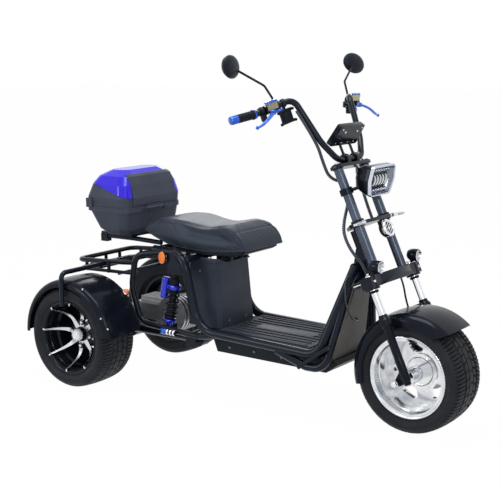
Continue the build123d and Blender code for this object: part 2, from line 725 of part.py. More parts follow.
BOX_Z = 660.0
BOX_FRONT_X = -598.0
BOX_REAR_X = -842.0
BOX_HALF_Y = 196.0
BOX_CORNER = 45.0
BOX_SEAM_Z = 780.0
BOX_TOP_Z = 952.0
BOX_LIP = 5.0
BOX_WALL = 4.0
BOX_SEAM = 0.5
LID_HINGE_R = 6.0
LID_PIN_R = 2.5
LID_HINGE_X = BOX_FRONT_X + 9.0
HINGE_END_Y = 70.0
LID_HINGE_Z = BOX_SEAM_Z
PANEL_THICK = 2.0
PAD_HALF_Y = 145.0
PAD_THICK = 6.0
PAD_TOP_Z = BOX_TOP_Z - 14.0


def box_bracket():
    """Arms from the seat rail and the plate that carries the top box."""
    solid = block(-830, -640, -110, 110, 648, BOX_Z - FIT)
    rest = SEAT_END_Z + CROSS_D / 2 + FIT + 11
    for side in (-1, 1):
        arm = [(-800, side * 90, 638), (-640, side * 90, 640), (SEAT_END_X, side * 90, rest)]
        solid += pipe(arm, 22, [200])
        solid += block(-838, -800, side * 90 - 15, side * 90 + 15, 612, 648)
    return solid


def box_slice(z, front_in, rear_in, side_in, corner, inset=0.0):
    """A rounded rectangle across the top box, set in from its largest outline."""
    x0 = BOX_REAR_X + rear_in + inset
    x1 = BOX_FRONT_X - front_in - inset
    half = BOX_HALF_Y - side_in - inset
    face = RectangleRounded(x1 - x0, 2 * half, max(corner - inset, 2))
    return Plane.XY.offset(z) * Pos((x0 + x1) / 2, 0, 0) * face


def box_tub_form(inset, low, high):
    """The tub's outer or inner form: nearly upright, rounded in at the bottom and the back."""
    return loft([
        box_slice(low, 34, 92, 36, BOX_CORNER - 5, inset),
        box_slice(BOX_Z + 28, 12, 52, 14, BOX_CORNER, inset),
        box_slice(BOX_Z + 68, 6, 30, 7, BOX_CORNER, inset),
        box_slice(high, 0, 0, 0, BOX_CORNER, inset),
    ], ruled=True)


def box_tub():
    """Lower half of the top box, a thin open moulding, with the hinge pin."""
    lip = extrude(box_slice(BOX_SEAM_Z - 12, 0, 0, 0, BOX_CORNER, -BOX_LIP), amount=12)
    solid = box_tub_form(0, BOX_Z, BOX_SEAM_Z) + lip
    solid -= box_tub_form(BOX_WALL, BOX_Z + BOX_WALL, BOX_SEAM_Z + 1)
    solid -= cross_wise(LID_HINGE_R + 1, -HINGE_END_Y, HINGE_END_Y, LID_HINGE_X, LID_HINGE_Z)
    for side in (-1, 1):
        y0 = min(side * (HINGE_END_Y - 10), side * HINGE_END_Y)
        solid += block(BOX_FRONT_X - 3, LID_HINGE_X, y0, y0 + 10, BOX_SEAM_Z - 14, BOX_SEAM_Z)
        solid += cross_wise(LID_HINGE_R, y0, y0 + 10, LID_HINGE_X, LID_HINGE_Z)
    solid += cross_wise(LID_PIN_R, -HINGE_END_Y, HINGE_END_Y, LID_HINGE_X, LID_HINGE_Z)
    return solid


def box_lid_form(inset, low):
    """The lid's outer or inner form: bulged above the seam, drawn in to a crowned top."""
    return loft([
        box_slice(low, 0, 0, 0, BOX_CORNER, inset),
        box_slice(BOX_SEAM_Z + 52, -2, -3, -3, BOX_CORNER, inset),
        box_slice(BOX_TOP_Z - 62, 10, 16, 12, BOX_CORNER, inset),
        box_slice(BOX_TOP_Z - 24, 24, 44, 32, BOX_CORNER, inset),
        box_slice(BOX_TOP_Z - inset, 62, 90, 72, BOX_CORNER - 5, inset),
    ], ruled=True)


def lid_pad(thick, spare):
    """Region of the raised centre panel on the lid's front face."""
    pad = box_lid_form(-thick, BOX_SEAM_Z + 16)
    half = PAD_HALF_Y + spare
    return pad & block(BOX_FRONT_X - 42 - spare, 0, -half, half, BOX_SEAM_Z + 20, PAD_TOP_Z + spare)


def box_lid():
    """Upper half of the top box, hinged at the side towards the seat."""
    lip = extrude(box_slice(BOX_SEAM_Z + BOX_SEAM, 0, 0, 0, BOX_CORNER, -BOX_LIP), amount=9)
    solid = box_lid_form(0, BOX_SEAM_Z + BOX_SEAM) + lip + lid_pad(PAD_THICK, 0)
    for side in (-1, 1):
        knob = side * (BOX_HALF_Y + 10)
        solid += block(BOX_REAR_X + 14, BOX_REAR_X + 50, min(0, knob), max(0, knob),
                       BOX_SEAM_Z + 4, BOX_SEAM_Z + 46)
    solid -= box_lid_form(BOX_WALL, BOX_SEAM_Z)
    hinge_half = HINGE_END_Y - 14
    solid -= cross_wise(LID_HINGE_R + 1, -HINGE_END_Y - 1, HINGE_END_Y + 1, LID_HINGE_X, LID_HINGE_Z)
    solid += block(BOX_FRONT_X - 3, LID_HINGE_X, -hinge_half, hinge_half, LID_HINGE_Z + 3, LID_HINGE_Z + 16)
    solid += cross_wise(LID_HINGE_R, -hinge_half, hinge_half, LID_HINGE_X, LID_HINGE_Z)
    solid -= cross_wise(LID_PIN_R + RUNNING, -80, 80, LID_HINGE_X, LID_HINGE_Z)
    return solid


def lid_panel():
    """Coloured cover over the top, the two ends and the corners of the lid."""
    cover = box_lid_form(-FIT - PANEL_THICK, BOX_SEAM_Z + BOX_SEAM)
    cover -= box_lid_form(-FIT, BOX_SEAM_Z)
    low_front = BOX_SEAM_Z + 50
    low_rear = low_front + 0.33 * (BOX_FRONT_X - BOX_REAR_X)
    side_view = Polyline((BOX_FRONT_X + 20, low_front), (BOX_FRONT_X + 20, BOX_TOP_Z + 50),
                         (BOX_REAR_X - 20, BOX_TOP_Z + 50), (BOX_REAR_X - 20, low_rear), close=True)
    cover &= extrude(Plane.XZ * make_face(side_view), amount=400, both=True)
    half = PAD_HALF_Y + FIT
    cover -= block(BOX_FRONT_X - 42 - FIT, 0, -half, half, BOX_SEAM_Z, PAD_TOP_Z + FIT)
    return cover


# ================================================================ fork
def local_rod(u, y, w0, w1, radius):
    """A bar along the steering axis, in the frame of that axis."""
    return Pos(u, y, (w0 + w1) / 2) * Cylinder(radius, w1 - w0)


def lower_yoke():
    """Wide lower yoke: bowed arched plate, a clamp for each leg and the steering stem."""
    front = Curve() + [
        Line((YOKE_FRONT_U, -YOKE_HALF_Y), (YOKE_FRONT_U, -YOKE_INNER_Y)),
        ThreePointArc((YOKE_FRONT_U, -YOKE_INNER_Y), (YOKE_FRONT_U + YOKE_BOW, 0),
                      (YOKE_FRONT_U, YOKE_INNER_Y)),
        Line((YOKE_FRONT_U, YOKE_INNER_Y), (YOKE_FRONT_U, YOKE_HALF_Y)),
        Polyline((YOKE_FRONT_U, YOKE_HALF_Y), (LEG_U - 26, YOKE_HALF_Y), (LEG_U - 26, YOKE_INNER_Y),
                 (-30, 44), (-30, -44), (LEG_U - 26, -YOKE_INNER_Y), (LEG_U - 26, -YOKE_HALF_Y),
                 (YOKE_FRONT_U, -YOKE_HALF_Y)),
    ]
    solid = Pos(0, 0, YOKE_LOW_W) * extrude(make_face(front), amount=YOKE_HIGH_W - YOKE_LOW_W)
    solid -= Pos(0, 0, YOKE_ARCH_W) * Rot(0, 90, 0) * Cylinder(YOKE_ARCH_R, 400)
    for side in (-1, 1):
        solid += local_rod(LEG_U, side * LEG_Y, YOKE_LOW_W - 8, YOKE_HIGH_W, STANCHION_R + 13)
    solid += Pos(0, 0, YOKE_LOW_W + 2) * extrude(Circle(34), amount=YOKE_HIGH_W - YOKE_LOW_W - 2)
    for side in (-1, 1):
        solid -= local_rod(LEG_U, side * LEG_Y, YOKE_LOW_W - 15, YOKE_HIGH_W + 5, STANCHION_R + FIT)
        solid -= local_rod(TUBE_U, side * TUBE_Y, YOKE_LOW_W + 15, YOKE_HIGH_W + 5, TUBE_R + FIT)
    solid += local_rod(0, 0, YOKE_LOW_W + 2, MID_HIGH_W + 8, STEM_R)
    return fork_place() * solid


def upper_yoke():
    """Plate that joins the stem and the two upper tubes above the head."""
    front = UPPER_YOKE_FRONT_U
    half = UPPER_YOKE_HALF_Y
    outline = Polyline((front, -half), (front, half), (TUBE_U - 26, half), (-28, 36),
                       (-28, -36), (TUBE_U - 26, -half), (front, -half))
    solid = Pos(0, 0, MID_LOW_W) * extrude(make_face(outline), amount=MID_HIGH_W - MID_LOW_W)
    solid -= local_rod(0, 0, MID_LOW_W - 5, MID_HIGH_W + 5, STEM_R + FIT)
    for side in (-1, 1):
        solid -= local_rod(TUBE_U, side * TUBE_Y, MID_LOW_W - 5, MID_HIGH_W + 5, TUBE_R + FIT)
    return fork_place() * solid


def fork_tubes():
    """The two long tubes between the lower yoke and the handlebar clamp."""
    tube = local_rod(TUBE_U, TUBE_Y, YOKE_LOW_W + 15 + FIT, TUBE_TOP_W, TUBE_R)
    return [fork_place() * shape for shape in both(tube)]


def fork_stanchions():
    """Chromed upper legs, clamped in the lower yoke."""
    leg = local_rod(LEG_U, LEG_Y, SLIDER_HIGH_W - STANCHION_DEPTH + FIT, YOKE_HIGH_W + 6, STANCHION_R)
    return [fork_place() * shape for shape in both(leg)]


def fork_sliders():
    """Lower legs with a collar at the top and a lug behind the foot for the axle."""
    leg = local_rod(LEG_U, LEG_Y, SLIDER_LOW_W, SLIDER_HIGH_W, SLIDER_R)
    leg += local_rod(LEG_U, LEG_Y, SLIDER_HIGH_W - 34, SLIDER_HIGH_W - 12, SLIDER_COLLAR_R)
    lug = Polyline((AXLE_U - 8, AXLE_W - 17), (LEG_U, SLIDER_LOW_W + 6), (LEG_U, 44),
                   (AXLE_U - 14, AXLE_W + 12), close=True)
    leg += Pos(0, LEG_Y, 0) * extrude(Plane.XZ * make_face(lug), amount=LUG_HALF, both=True)
    leg += Pos(AXLE_U, LEG_Y, AXLE_W) * Rot(90, 0, 0) * Cylinder(19, 2 * LUG_HALF)
    leg -= local_rod(LEG_U, LEG_Y, SLIDER_HIGH_W - STANCHION_DEPTH, SLIDER_HIGH_W + 5, STANCHION_R + FIT)
    leg -= Pos(AXLE_U, LEG_Y, AXLE_W) * Rot(90, 0, 0) * Cylinder(AXLE_R + FIT, 80)
    return [fork_place() * shape for shape in both(leg)]


def front_axle():
    """Axle through the front hub with its spacers and end nuts."""
    outer = LEG_Y + LUG_HALF
    solid = cross_wise(AXLE_R, -outer - 12, outer + 12, FRONT_X, AXLE_Z)
    for side in (-1, 1):
        near = side * (FRONT_HUB_HALF + BRAKE_DISC_THICK + 1)
        far = side * (LEG_Y - LUG_HALF - FIT)
        solid += cross_wise(14, min(near, far), max(near, far), FRONT_X, AXLE_Z)
        nut = side * (outer + FIT)
        end = side * (outer + 12)
        solid += cross_wise(13, min(nut, end), max(nut, end), FRONT_X, AXLE_Z)
    return solid


FRONT_FENDER_R = 256.0
FRONT_FENDER_HALF = 122.0
FRONT_FENDER_WALL = 4.0
FRONT_FENDER_CROWN = 5.0
FRONT_FENDER_CORNER = 40.0
FRONT_FENDER_DROP = 52.0
FRONT_FENDER_FRONT = 49.0
FRONT_FENDER_SLANT = 10.0
FRONT_FENDER_REAR = 196.0
FRONT_FENDER_SHIFT_X = 12.0
FRONT_FENDER_SHIFT_Z = 8.0


def front_fender():
    """Guard over the front tyre with a slanted front edge and ears to the fork legs."""
    half = FRONT_FENDER_HALF
    cx = FRONT_X + FRONT_FENDER_SHIFT_X
    cz = AXLE_Z + FRONT_FENDER_SHIFT_Z
    solid = guard(cx, cz, FRONT_FENDER_R - FRONT_FENDER_CROWN, -half, half, FRONT_FENDER_CORNER,
                  FRONT_FENDER_DROP, FRONT_FENDER_CROWN, FRONT_FENDER_WALL)
    solid &= sector(cx, cz, FRONT_FENDER_FRONT, FRONT_FENDER_REAR, FRONT_FENDER_R + 60)
    tip = radians(FRONT_FENDER_FRONT)
    back = radians(FRONT_FENDER_FRONT + FRONT_FENDER_SLANT)
    low_r = FRONT_FENDER_R - FRONT_FENDER_DROP - 10
    edge = Polyline(
        (cx + FRONT_FENDER_R * cos(tip), cz + FRONT_FENDER_R * sin(tip)),
        (cx + low_r * cos(back), cz + low_r * sin(back)),
        (cx + low_r * cos(tip), cz + low_r * sin(tip) - 60),
        (cx + 300 * cos(tip), cz + 300 * sin(tip) - 60),
        close=True)
    solid -= extrude(Plane.XZ * make_face(edge), amount=400, both=True)
    for side in (-1, 1):
        ear = Pos(LEG_U - 8, side * (half + 7), 205) * Box(34, 22, 62)
        ear -= local_rod(LEG_U, side * LEG_Y, 0, 400, SLIDER_COLLAR_R + FIT)
        solid += fork_place() * ear
    return solid


# ================================================================ handlebar and what it carries


def handlebar():
    """High bent handlebar."""
    left = [bar_point(0, BAR_CORNER_Y, 0), BAR_RISE, BAR_BEND, BAR_PULL, BAR_END]
    right = [mirrored(p) for p in reversed(left)]
    return pipe(right + left, BAR_D, [100, 40, 150, 50, 50, 150, 40, 100])


LAMP_CENTRE = bar_point(149.5, 0.0, -79.0)
LAMP_LEAN = 10.0
LAMP_TOP_HALF = 86.0
LAMP_MID_HALF = 94.0
LAMP_LOW_HALF = 76.0
LAMP_H = 122.0
LAMP_DEPTH = 84.0
LAMP_CORNER_R = 16.0
LAMP_BEZEL = 8.0
LENS_THICK = 6.0
LOOM_D = 14.0
LAMP_W_POS = BAR_W - 129.0


def along(a, b, t):
    """Point between two points."""
    return tuple(a[i] + (b[i] - a[i]) * t for i in range(3))


PANEL_CENTRE = bar_point(-7.5, 0.0, 90.0)
PANEL_LEAN = 57.0
PANEL_DEPTH = 24.0


def panel_place():
    """Frame of the instrument case's back: local Z points at the rider."""
    return Pos(*PANEL_CENTRE) * Rot(0, -PANEL_LEAN, 0)


def bar_riser():
    """Top plate on the upper tubes with two clamps for the handlebar."""
    plate_low = TUBE_TOP_W - 20
    plate_high = TUBE_TOP_W + 8
    solid = Pos(TUBE_U, 0, (plate_low + plate_high) / 2) * Box(54, 2 * TUBE_Y + 54, plate_high - plate_low)
    for side in (-1, 1):
        solid -= local_rod(TUBE_U, side * TUBE_Y, plate_low - 5, TUBE_TOP_W + FIT, TUBE_R + FIT)
        solid += Pos(BAR_U, side * 36, (plate_high + BAR_W + 20) / 2) * Box(
            38, 24, BAR_W + 20 - plate_high)
        solid += Pos(BAR_U, side * 36, BAR_W + 50) * Box(8, 16, 80)
    solid -= Pos(BAR_U, 0, BAR_W) * Rot(90, 0, 0) * Cylinder(BAR_D / 2 + FIT, 140)
    solid = fork_place() * solid
    return solid - panel_place() * (Pos(0, 0, 100 - FIT) * Box(400, 400, 200))


def grips():
    """Rubber sleeve on each end of the handlebar."""
    start = along(BAR_PULL, BAR_END, 0.14)
    end = along(BAR_PULL, BAR_END, 1.03)
    stop = along(BAR_PULL, BAR_END, 1.002)
    begin = along(BAR_PULL, BAR_END, 0.0)
    grip = rod(start, end, GRIP_R) - rod(begin, stop, BAR_D / 2 + FIT)
    return both(grip)


def bar_ring(t0, t1, radius):
    """A clamp round the run of the handlebar between its bend and the grip."""
    ring = rod(along(BAR_BEND, BAR_PULL, t0), along(BAR_BEND, BAR_PULL, t1), radius)
    core = rod(along(BAR_BEND, BAR_PULL, t0 - 0.1), along(BAR_BEND, BAR_PULL, t1 + 0.1), BAR_D / 2 + FIT)
    return ring, core


def bar_frame(t):
    """Plane on the handlebar's run: X along the bar, Y backward, Z up."""
    direction = Vector(BAR_PULL) - Vector(BAR_BEND)
    backward = Vector(0, 0, 1).cross(direction)
    return Plane(origin=along(BAR_BEND, BAR_PULL, t), x_dir=direction, z_dir=direction.cross(backward))


def brake_levers():
    """Perch round the bar, its reservoir and the lever blade."""
    ring, core = bar_ring(0.68, 0.80, 19)
    mid = along(BAR_BEND, BAR_PULL, 0.74)
    perch = ring + rod(mid, (mid[0] + 46, mid[1] + 22, mid[2] - 8), 9)
    perch += pipe([(mid[0] + 40, mid[1] + 12, mid[2] - 8), (mid[0] + 62, mid[1] + 60, mid[2] - 22),
                   bar_point(-131.5, 446, 143)], 12, [60])
    perch += bar_frame(0.74).location * (Pos(-14, -30, 20) * Box(44, 34, 24))
    perch -= core
    return both(perch)


MIRROR_CENTRE = bar_point(-255.5, 442.0, 366.0)
MIRROR_KNEE = bar_point(-209.5, 292.0, 292.0)
MIRROR_SIZE = (20.0, 64.0, 43.0)
MIRROR_TILT = 16.0


def mirrors():
    """Round stem and tilted oval head on each side."""
    ring, core = bar_ring(0.40, 0.50, 18)
    mid = along(BAR_BEND, BAR_PULL, 0.45)
    stem = ring + pipe([mid, MIRROR_KNEE, MIRROR_CENTRE], 9, [20]) - core
    heads = []
    for side, shape in zip((1, -1), both(stem)):
        x, y, z = MIRROR_CENTRE
        head = Pos(x, side * y, z) * Rot(-MIRROR_TILT, 0, -side * 12) * scale(Sphere(1), by=MIRROR_SIZE)
        heads.append(shape + head)
    return heads


def switch_pods():
    """Switch housing on each side, between the perch and the grip."""
    ring, core = bar_ring(0.83, 0.92, 19)
    pod = ring + bar_frame(0.875).location * (Pos(0, -8, -24) * Box(18, 30, 30))
    return both(pod - core)


def phone_holder():
    """Cradle that hangs from the right of the handlebar."""
    ring, core = bar_ring(0.24, 0.34, 17)
    place = bar_frame(0.29).location
    solid = ring + place * (Pos(0, 6, -54) * Box(52, 10, 58))
    solid += place * (Pos(0, 6, -19) * Box(12, 10, 12))
    for x in (-29, 29):
        for z in (-32, -78):
            solid += place * (Pos(x, 2, z) * Box(14, 26, 12))
    solid -= core
    return mirror(solid, about=Plane.XZ)


def headlamp_place():
    """Frame of the lamp's face: local Z forward, local X across, leaning down."""
    return Pos(*LAMP_CENTRE) * Rot(0, LAMP_LEAN, 0) * Rot(0, 90, 0) * Rot(0, 0, 90)


def lamp_face(inset):
    """Outline of the lamp: wide shoulders, narrower top and foot, rounded corners."""
    half_h = LAMP_H / 2 - inset
    outline = Polyline(
        (-LAMP_LOW_HALF + inset, -half_h), (LAMP_LOW_HALF - inset, -half_h), (LAMP_MID_HALF - inset, 0),
        (LAMP_TOP_HALF - inset, half_h), (-LAMP_TOP_HALF + inset, half_h), (-LAMP_MID_HALF + inset, 0),
        close=True)
    face = make_face(outline)
    return fillet(face.vertices(), LAMP_CORNER_R - inset)


def headlamp():
    """Lamp body tapering to the back, with its bracket to the upper tubes."""
    body = extrude(lamp_face(0), amount=-LAMP_DEPTH, taper=18)
    body -= extrude(lamp_face(LAMP_BEZEL), amount=-LENS_THICK - FIT)
    solid = headlamp_place() * body
    arms = None
    for side in (-1, 1):
        high = LAMP_W_POS + 12
        ring = Pos(0, 0, 0) * local_rod(TUBE_U, side * TUBE_Y, high - 24, high, TUBE_R + 6)
        arm = Pos(TUBE_U + 46, side * (TUBE_Y - 34), high - 12) * Box(70, 12, 22)
        arm += Pos(TUBE_U + 20, side * (TUBE_Y - 14), high - 12) * Box(20, 46, 22)
        piece = ring + arm - local_rod(TUBE_U, side * TUBE_Y, high - 40, high + 20, TUBE_R + FIT)
        arms = piece if arms is None else arms + piece
    return solid + fork_place() * arms


def headlamp_lens():
    """Clear lens set into the lamp's bezel."""
    return headlamp_place() * extrude(lamp_face(LAMP_BEZEL + FIT), amount=-LENS_THICK)


def horn():
    """Round horn with its bracket on the upper yoke."""
    solid = Pos(TUBE_U + 34, 20, MID_LOW_W - 39) * Rot(0, 90, 0) * Cylinder(37, 32)
    solid += Pos(TUBE_U + 22, 20, MID_LOW_W - 11) * Box(6, 30, 22 - 2 * FIT)
    return fork_place() * solid


FOG_U = 134.0
FOG_Y = 152.0
FOG_W = 420.0
FOG_R = 25.0


def fog_lamps():
    """Round lamp bowl on a post at each end of the lower yoke."""
    centre = fork_point(FOG_U, FOG_Y, FOG_W)
    outline = Polyline((0, 0), (FOG_R, 0), (FOG_R, -9), (FOG_R - 2, -12), (FOG_R - 6, -30),
                       (FOG_R - 12, -46), (0, -46), (0, 0))
    bowl = revolve(Plane.XZ * make_face(outline), axis=Axis.Z)
    lamp = Pos(*centre) * Rot(0, 90, 0) * bowl
    post_u = FOG_U - 36
    post = rod(fork_point(post_u, FOG_Y, YOKE_HIGH_W + FIT), fork_point(post_u, FOG_Y, FOG_W + 16), 7)
    return both(lamp + post)


SIGNAL_R = 7.5
SIGNAL_TIP_Y = 196.0


def turn_signals():
    """Slim lamp at each side, on the front edge of the upper yoke."""
    start = (UPPER_YOKE_FRONT_U + SIGNAL_R + FIT, UPPER_YOKE_HALF_Y - 14, MID_LOW_W + 9)
    tip = (start[0] + 5, SIGNAL_TIP_Y, start[2] - 4)
    lamp = rod(start, tip, SIGNAL_R)
    lamp = fillet(lamp.edges().sort_by(Axis.Y)[-1], SIGNAL_R - 2)
    return [fork_place() * shape for shape in both(lamp)]


def instrument_panel():
    """Instrument case facing the rider, above the handlebar clamps."""
    outline = Polyline((-46, -98), (46, -88), (46, 88), (-46, 98), (-46, -98))
    solid = extrude(make_face(outline), amount=PANEL_DEPTH)
    return panel_place() * solid


CALLIPER_LOW_W = 37.0
CALLIPER_TOP_W = 83.0


def front_calliper():
    """Brake calliper over the edge of the front disc, on the left fork leg."""
    inner = BRAKE_DISC_Y - 10
    outer = BRAKE_DISC_Y + 30
    wedge_face = make_face(Polyline((0, 0), (-20, 130), (-110, 70), (0, 0)))
    wedge = Rot(90, 0, 0) * extrude(wedge_face, amount=300, both=True)
    ring = Rot(90, 0, 0) * (Cylinder(120, outer - inner) - Cylinder(58, 60))
    body = (Pos(0, (inner + outer) / 2, 0) * ring) & wedge
    slot_mid = BRAKE_DISC_Y + BRAKE_DISC_THICK / 2
    body -= Pos(0, slot_mid, 0) * Rot(90, 0, 0) * Cylinder(BRAKE_DISC_R + 5, BRAKE_DISC_THICK + 4)
    body = Pos(AXLE_U, 0, AXLE_W) * body
    middle = (CALLIPER_LOW_W + CALLIPER_TOP_W) / 2
    body += Pos(LEG_U - 40, LEG_Y - 21, middle) * Box(66, 30, CALLIPER_TOP_W - CALLIPER_LOW_W)
    body -= local_rod(LEG_U, LEG_Y, -60, 260, SLIDER_R + FIT)
    body -= Pos(AXLE_U, LEG_Y, AXLE_W) * Rot(90, 0, 0) * Cylinder(22, 2 * LUG_HALF + 4)
    body &= Pos(LEG_U - 130, 100, 0) * Box(260, 300, 400)
    return fork_place() * body


HOSE_D = 8.0
HOSE_Y = 106.0
CABLE_D = 6.0


def brake_hose():
    """Hose from the arched underside of the lower yoke down to the calliper."""
    edge = HOSE_Y + HOSE_D / 2
    top = YOKE_ARCH_W + sqrt(YOKE_ARCH_R ** 2 - edge ** 2) - FIT
    points = [(50, HOSE_Y, top), (50, HOSE_Y, 326), (20, 132, 268), (10, 142, 190),
              (22, 142, 125), (22, 142, CALLIPER_TOP_W + FIT)]
    path = [fork_point(*p) for p in points]
    return pipe(path, HOSE_D, [40, 60, 120, 60])


def brake_cable():
    """Cable from the right rail, round in front of the down tube, into the front cover."""
    rail = along(DECK_BEND_FRONT, RAIL_TOP, 0.888)
    x, y, z = mirrored(rail)
    cover_z = 410
    rise = (cover_z - BATTERY_TOP) / (RAIL_TOP[2] - 100 - BATTERY_TOP)
    cover_x = DECK_FRONT_X + 92 + rise * (RAIL_TOP[0] - DECK_FRONT_X - 93)
    route = [(x, y - RAIL_D / 2 - 2.9, z), (x, y - 46, z - 6), (x + 6, y - 56, 550), (x + 10, -132, 500),
             (x + 14, -104, 440), (x + 11, -60, 414), (x + 5, -18, 409), (cover_x + 1.6, -6, cover_z)]
    return pipe(route, CABLE_D, [12, 30, 40, 40, 30, 30])


def beside_bar(t):
    """Point beside the rise of the handlebar where the bound wires lie."""
    run = (Vector(BAR_RISE) - Vector(BAR_BEND)).normalized()
    out = Vector(0, 1, -0.5)
    out = (out - run * out.dot(run)).normalized()
    gap = (BAR_D + LOOM_D) / 2 + FIT
    return tuple(Vector(along(BAR_BEND, BAR_RISE, t)) + out * gap)


def wire_looms():
    """Bound wires from each hand: the left to the upper yoke, the right on down to the lower one."""
    shared = [beside_bar(0.22), beside_bar(0.92), bar_point(-42, 134, -5), fork_point(26, 104, 822)]
    right = shared + [fork_point(60, 66, 786), fork_point(50, 60, 716), fork_point(14, 96, 640),
                      fork_point(6, 116, 590), fork_point(14, 118, 520), fork_point(34, 100, 450),
                      fork_point(34, 100, YOKE_HIGH_W + FIT)]
    left = shared + [fork_point(62, 60, 786), fork_point(56, 46, 716), fork_point(56, 46, MID_HIGH_W + FIT)]
    right_pipe = pipe([mirrored(p) for p in right], LOOM_D, [90, 60, 45, 45, 90, 60, 60, 90, 90])
    left_pipe = pipe(left, LOOM_D, [90, 60, 45, 45, 90])
    return [left_pipe, right_pipe]


PEG_Y = 219.0


def pillion_pegs():
    """Folded foot pegs on the outside of the cage tubes."""
    peg = rod((-378, PEG_Y, 272), (-292, PEG_Y, 272), 13)
    for x in (-366, -346, -326):
        peg -= rod((x, PEG_Y, 272), (x + 6, PEG_Y, 272), 14) - rod((x, PEG_Y, 272), (x + 6, PEG_Y, 272), 11)
    peg += cross_wise(8, RAIL_Y, PEG_Y, -300, 272)
    peg -= cage_loop(CAGE_D + 2 * FIT)
    return both(max(peg.solids(), key=lambda item: item.volume))


def reflectors():
    """Oval side reflectors on stubs from the side rails."""
    face = Ellipse(21, 30)
    plane = Plane(origin=(-372, 206, 598), x_dir=(1, 0, 0), z_dir=(0, 1, 0))
    solid = extrude(plane * face, amount=10)
    solid += cross_wise(6, 166, 207, -372, 612)
    solid -= pipe([SEAT_RAIL_REAR, SEAT_RAIL_BEND, DECK_BEND_REAR], RAIL_D + 2 * FIT, [90])
    return both(max(solid.solids(), key=lambda item: item.volume))


def main():
    """Write every node."""
    os.makedirs("parts", exist_ok=True)
    save("front_tyre", tyre(FRONT_X, 0))
    save("front_rim", front_rim())
    save("front_disc", front_disc())
    for name, side in (("left", 1), ("right", -1)):
        save("rear_tyre_" + name, tyre(REAR_X, side * REAR_WHEEL_Y))
        save("rear_rim_" + name, rear_rim(side))
        save("shock_" + name, shock(side))
        save("rear_fender_" + name, rear_fender(side))
    save("rear_axle", rear_axle())
    save("swing_arm", swing_arm())
    save("drive_motor", drive_motor())
    save("main_frame", main_frame())
    save("floor_deck", floor_deck())
    save("battery_box", battery_box())
    save("front_cover", front_cover())
    save("seat_cowl", seat_cowl())
    save("seat_cushion", seat_cushion())
    save("seat_base", seat_base())
    save("seat_hinge", seat_hinge())
    save("rear_rack", rear_rack())
    save("box_bracket", box_bracket())
    save("box_tub", box_tub())
    save("box_lid", box_lid())
    save("lid_panel", lid_panel())
    save("lower_yoke", lower_yoke())
    save("upper_yoke", upper_yoke())
    save("fork_tubes", *fork_tubes())
    save("fork_stanchions", *fork_stanchions())
    save("fork_sliders", *fork_sliders())
    save("front_axle", front_axle())
    save("front_fender", front_fender())
    save("handlebar", handlebar())
    save("bar_riser", bar_riser())
    save("grips", *grips())
    save("brake_levers", *brake_levers())
    save("mirrors", *mirrors())
    save("switch_pods", *switch_pods())
    save("phone_holder", phone_holder())
    save("headlamp", headlamp())
    save("horn", horn())
    save("fog_lamps", *fog_lamps())
    save("turn_signals", *turn_signals())
    save("instrument_panel", instrument_panel())
    save("headlamp_lens", headlamp_lens())
    save("front_calliper", front_calliper())
    save("brake_hose", brake_hose())
    save("brake_cable", brake_cable())
    save("wire_looms", *wire_looms())
    save("pillion_pegs", *pillion_pegs())
    save("reflectors", *reflectors())


main()
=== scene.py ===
# %% [markdown]
# A sit-on electric three-wheel scooter, dressed for a picture.
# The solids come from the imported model, in metres, with +X forward and +Z up.
# This lesson gives each of them a finish and adds what a solid model leaves out:
# tyre tread, spokes, lamps, springs, stitching, bolts and bound wires.
# New surfaces are worked out with numpy as whole arrays, then handed to Blender.

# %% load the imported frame
import json
import math

import bmesh
import bpy
import numpy as np
from mathutils import Matrix, Vector
from mathutils.bvhtree import BVHTree


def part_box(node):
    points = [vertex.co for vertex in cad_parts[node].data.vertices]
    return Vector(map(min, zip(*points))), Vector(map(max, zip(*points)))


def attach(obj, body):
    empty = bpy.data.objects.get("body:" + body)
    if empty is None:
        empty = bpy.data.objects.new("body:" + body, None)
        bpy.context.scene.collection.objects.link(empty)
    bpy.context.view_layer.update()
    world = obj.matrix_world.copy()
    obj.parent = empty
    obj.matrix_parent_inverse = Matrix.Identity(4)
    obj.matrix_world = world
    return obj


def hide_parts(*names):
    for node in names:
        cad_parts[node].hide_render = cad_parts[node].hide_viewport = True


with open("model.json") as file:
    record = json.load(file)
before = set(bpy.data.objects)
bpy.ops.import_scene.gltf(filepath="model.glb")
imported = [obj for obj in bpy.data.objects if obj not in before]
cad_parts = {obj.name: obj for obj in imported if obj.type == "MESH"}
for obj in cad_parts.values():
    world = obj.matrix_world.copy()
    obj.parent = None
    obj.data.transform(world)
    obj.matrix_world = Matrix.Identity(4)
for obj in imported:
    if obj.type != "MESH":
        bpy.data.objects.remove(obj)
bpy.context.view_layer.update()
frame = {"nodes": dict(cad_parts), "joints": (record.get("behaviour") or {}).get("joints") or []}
nodes = frame["nodes"]

# %% [markdown]
# The camera stands at the front right of the scooter, a little above the handlebar.
# Its place and its turn are written as one point and three angles: the azimuth round Z,
# the elevation above the floor and a small roll. Blender wants a matrix whose columns
# are the camera's right, up and back, so the three angles are turned into those.

# %% camera
AZIMUTH, ELEVATION, ROLL = math.radians(36.6), math.radians(10.52), math.radians(-0.31)
CAMERA_AT, LENS, FILM = (2.7413, -3.7581, 1.5039), 79.21, 36
back = Vector((math.sin(AZIMUTH) * math.cos(ELEVATION), -math.cos(AZIMUTH) * math.cos(ELEVATION),
               math.sin(ELEVATION)))
right = Vector((math.cos(AZIMUTH), math.sin(AZIMUTH), 0))
up = back.cross(right)
turned_right = right * math.cos(ROLL) + up * math.sin(ROLL)
turned_up = up * math.cos(ROLL) - right * math.sin(ROLL)


def stand(name, data):
    """A new object in the scene that shows some data: a camera, a lamp or a mesh."""
    thing = bpy.data.objects.new(name, data)
    bpy.context.scene.collection.objects.link(thing)
    return thing


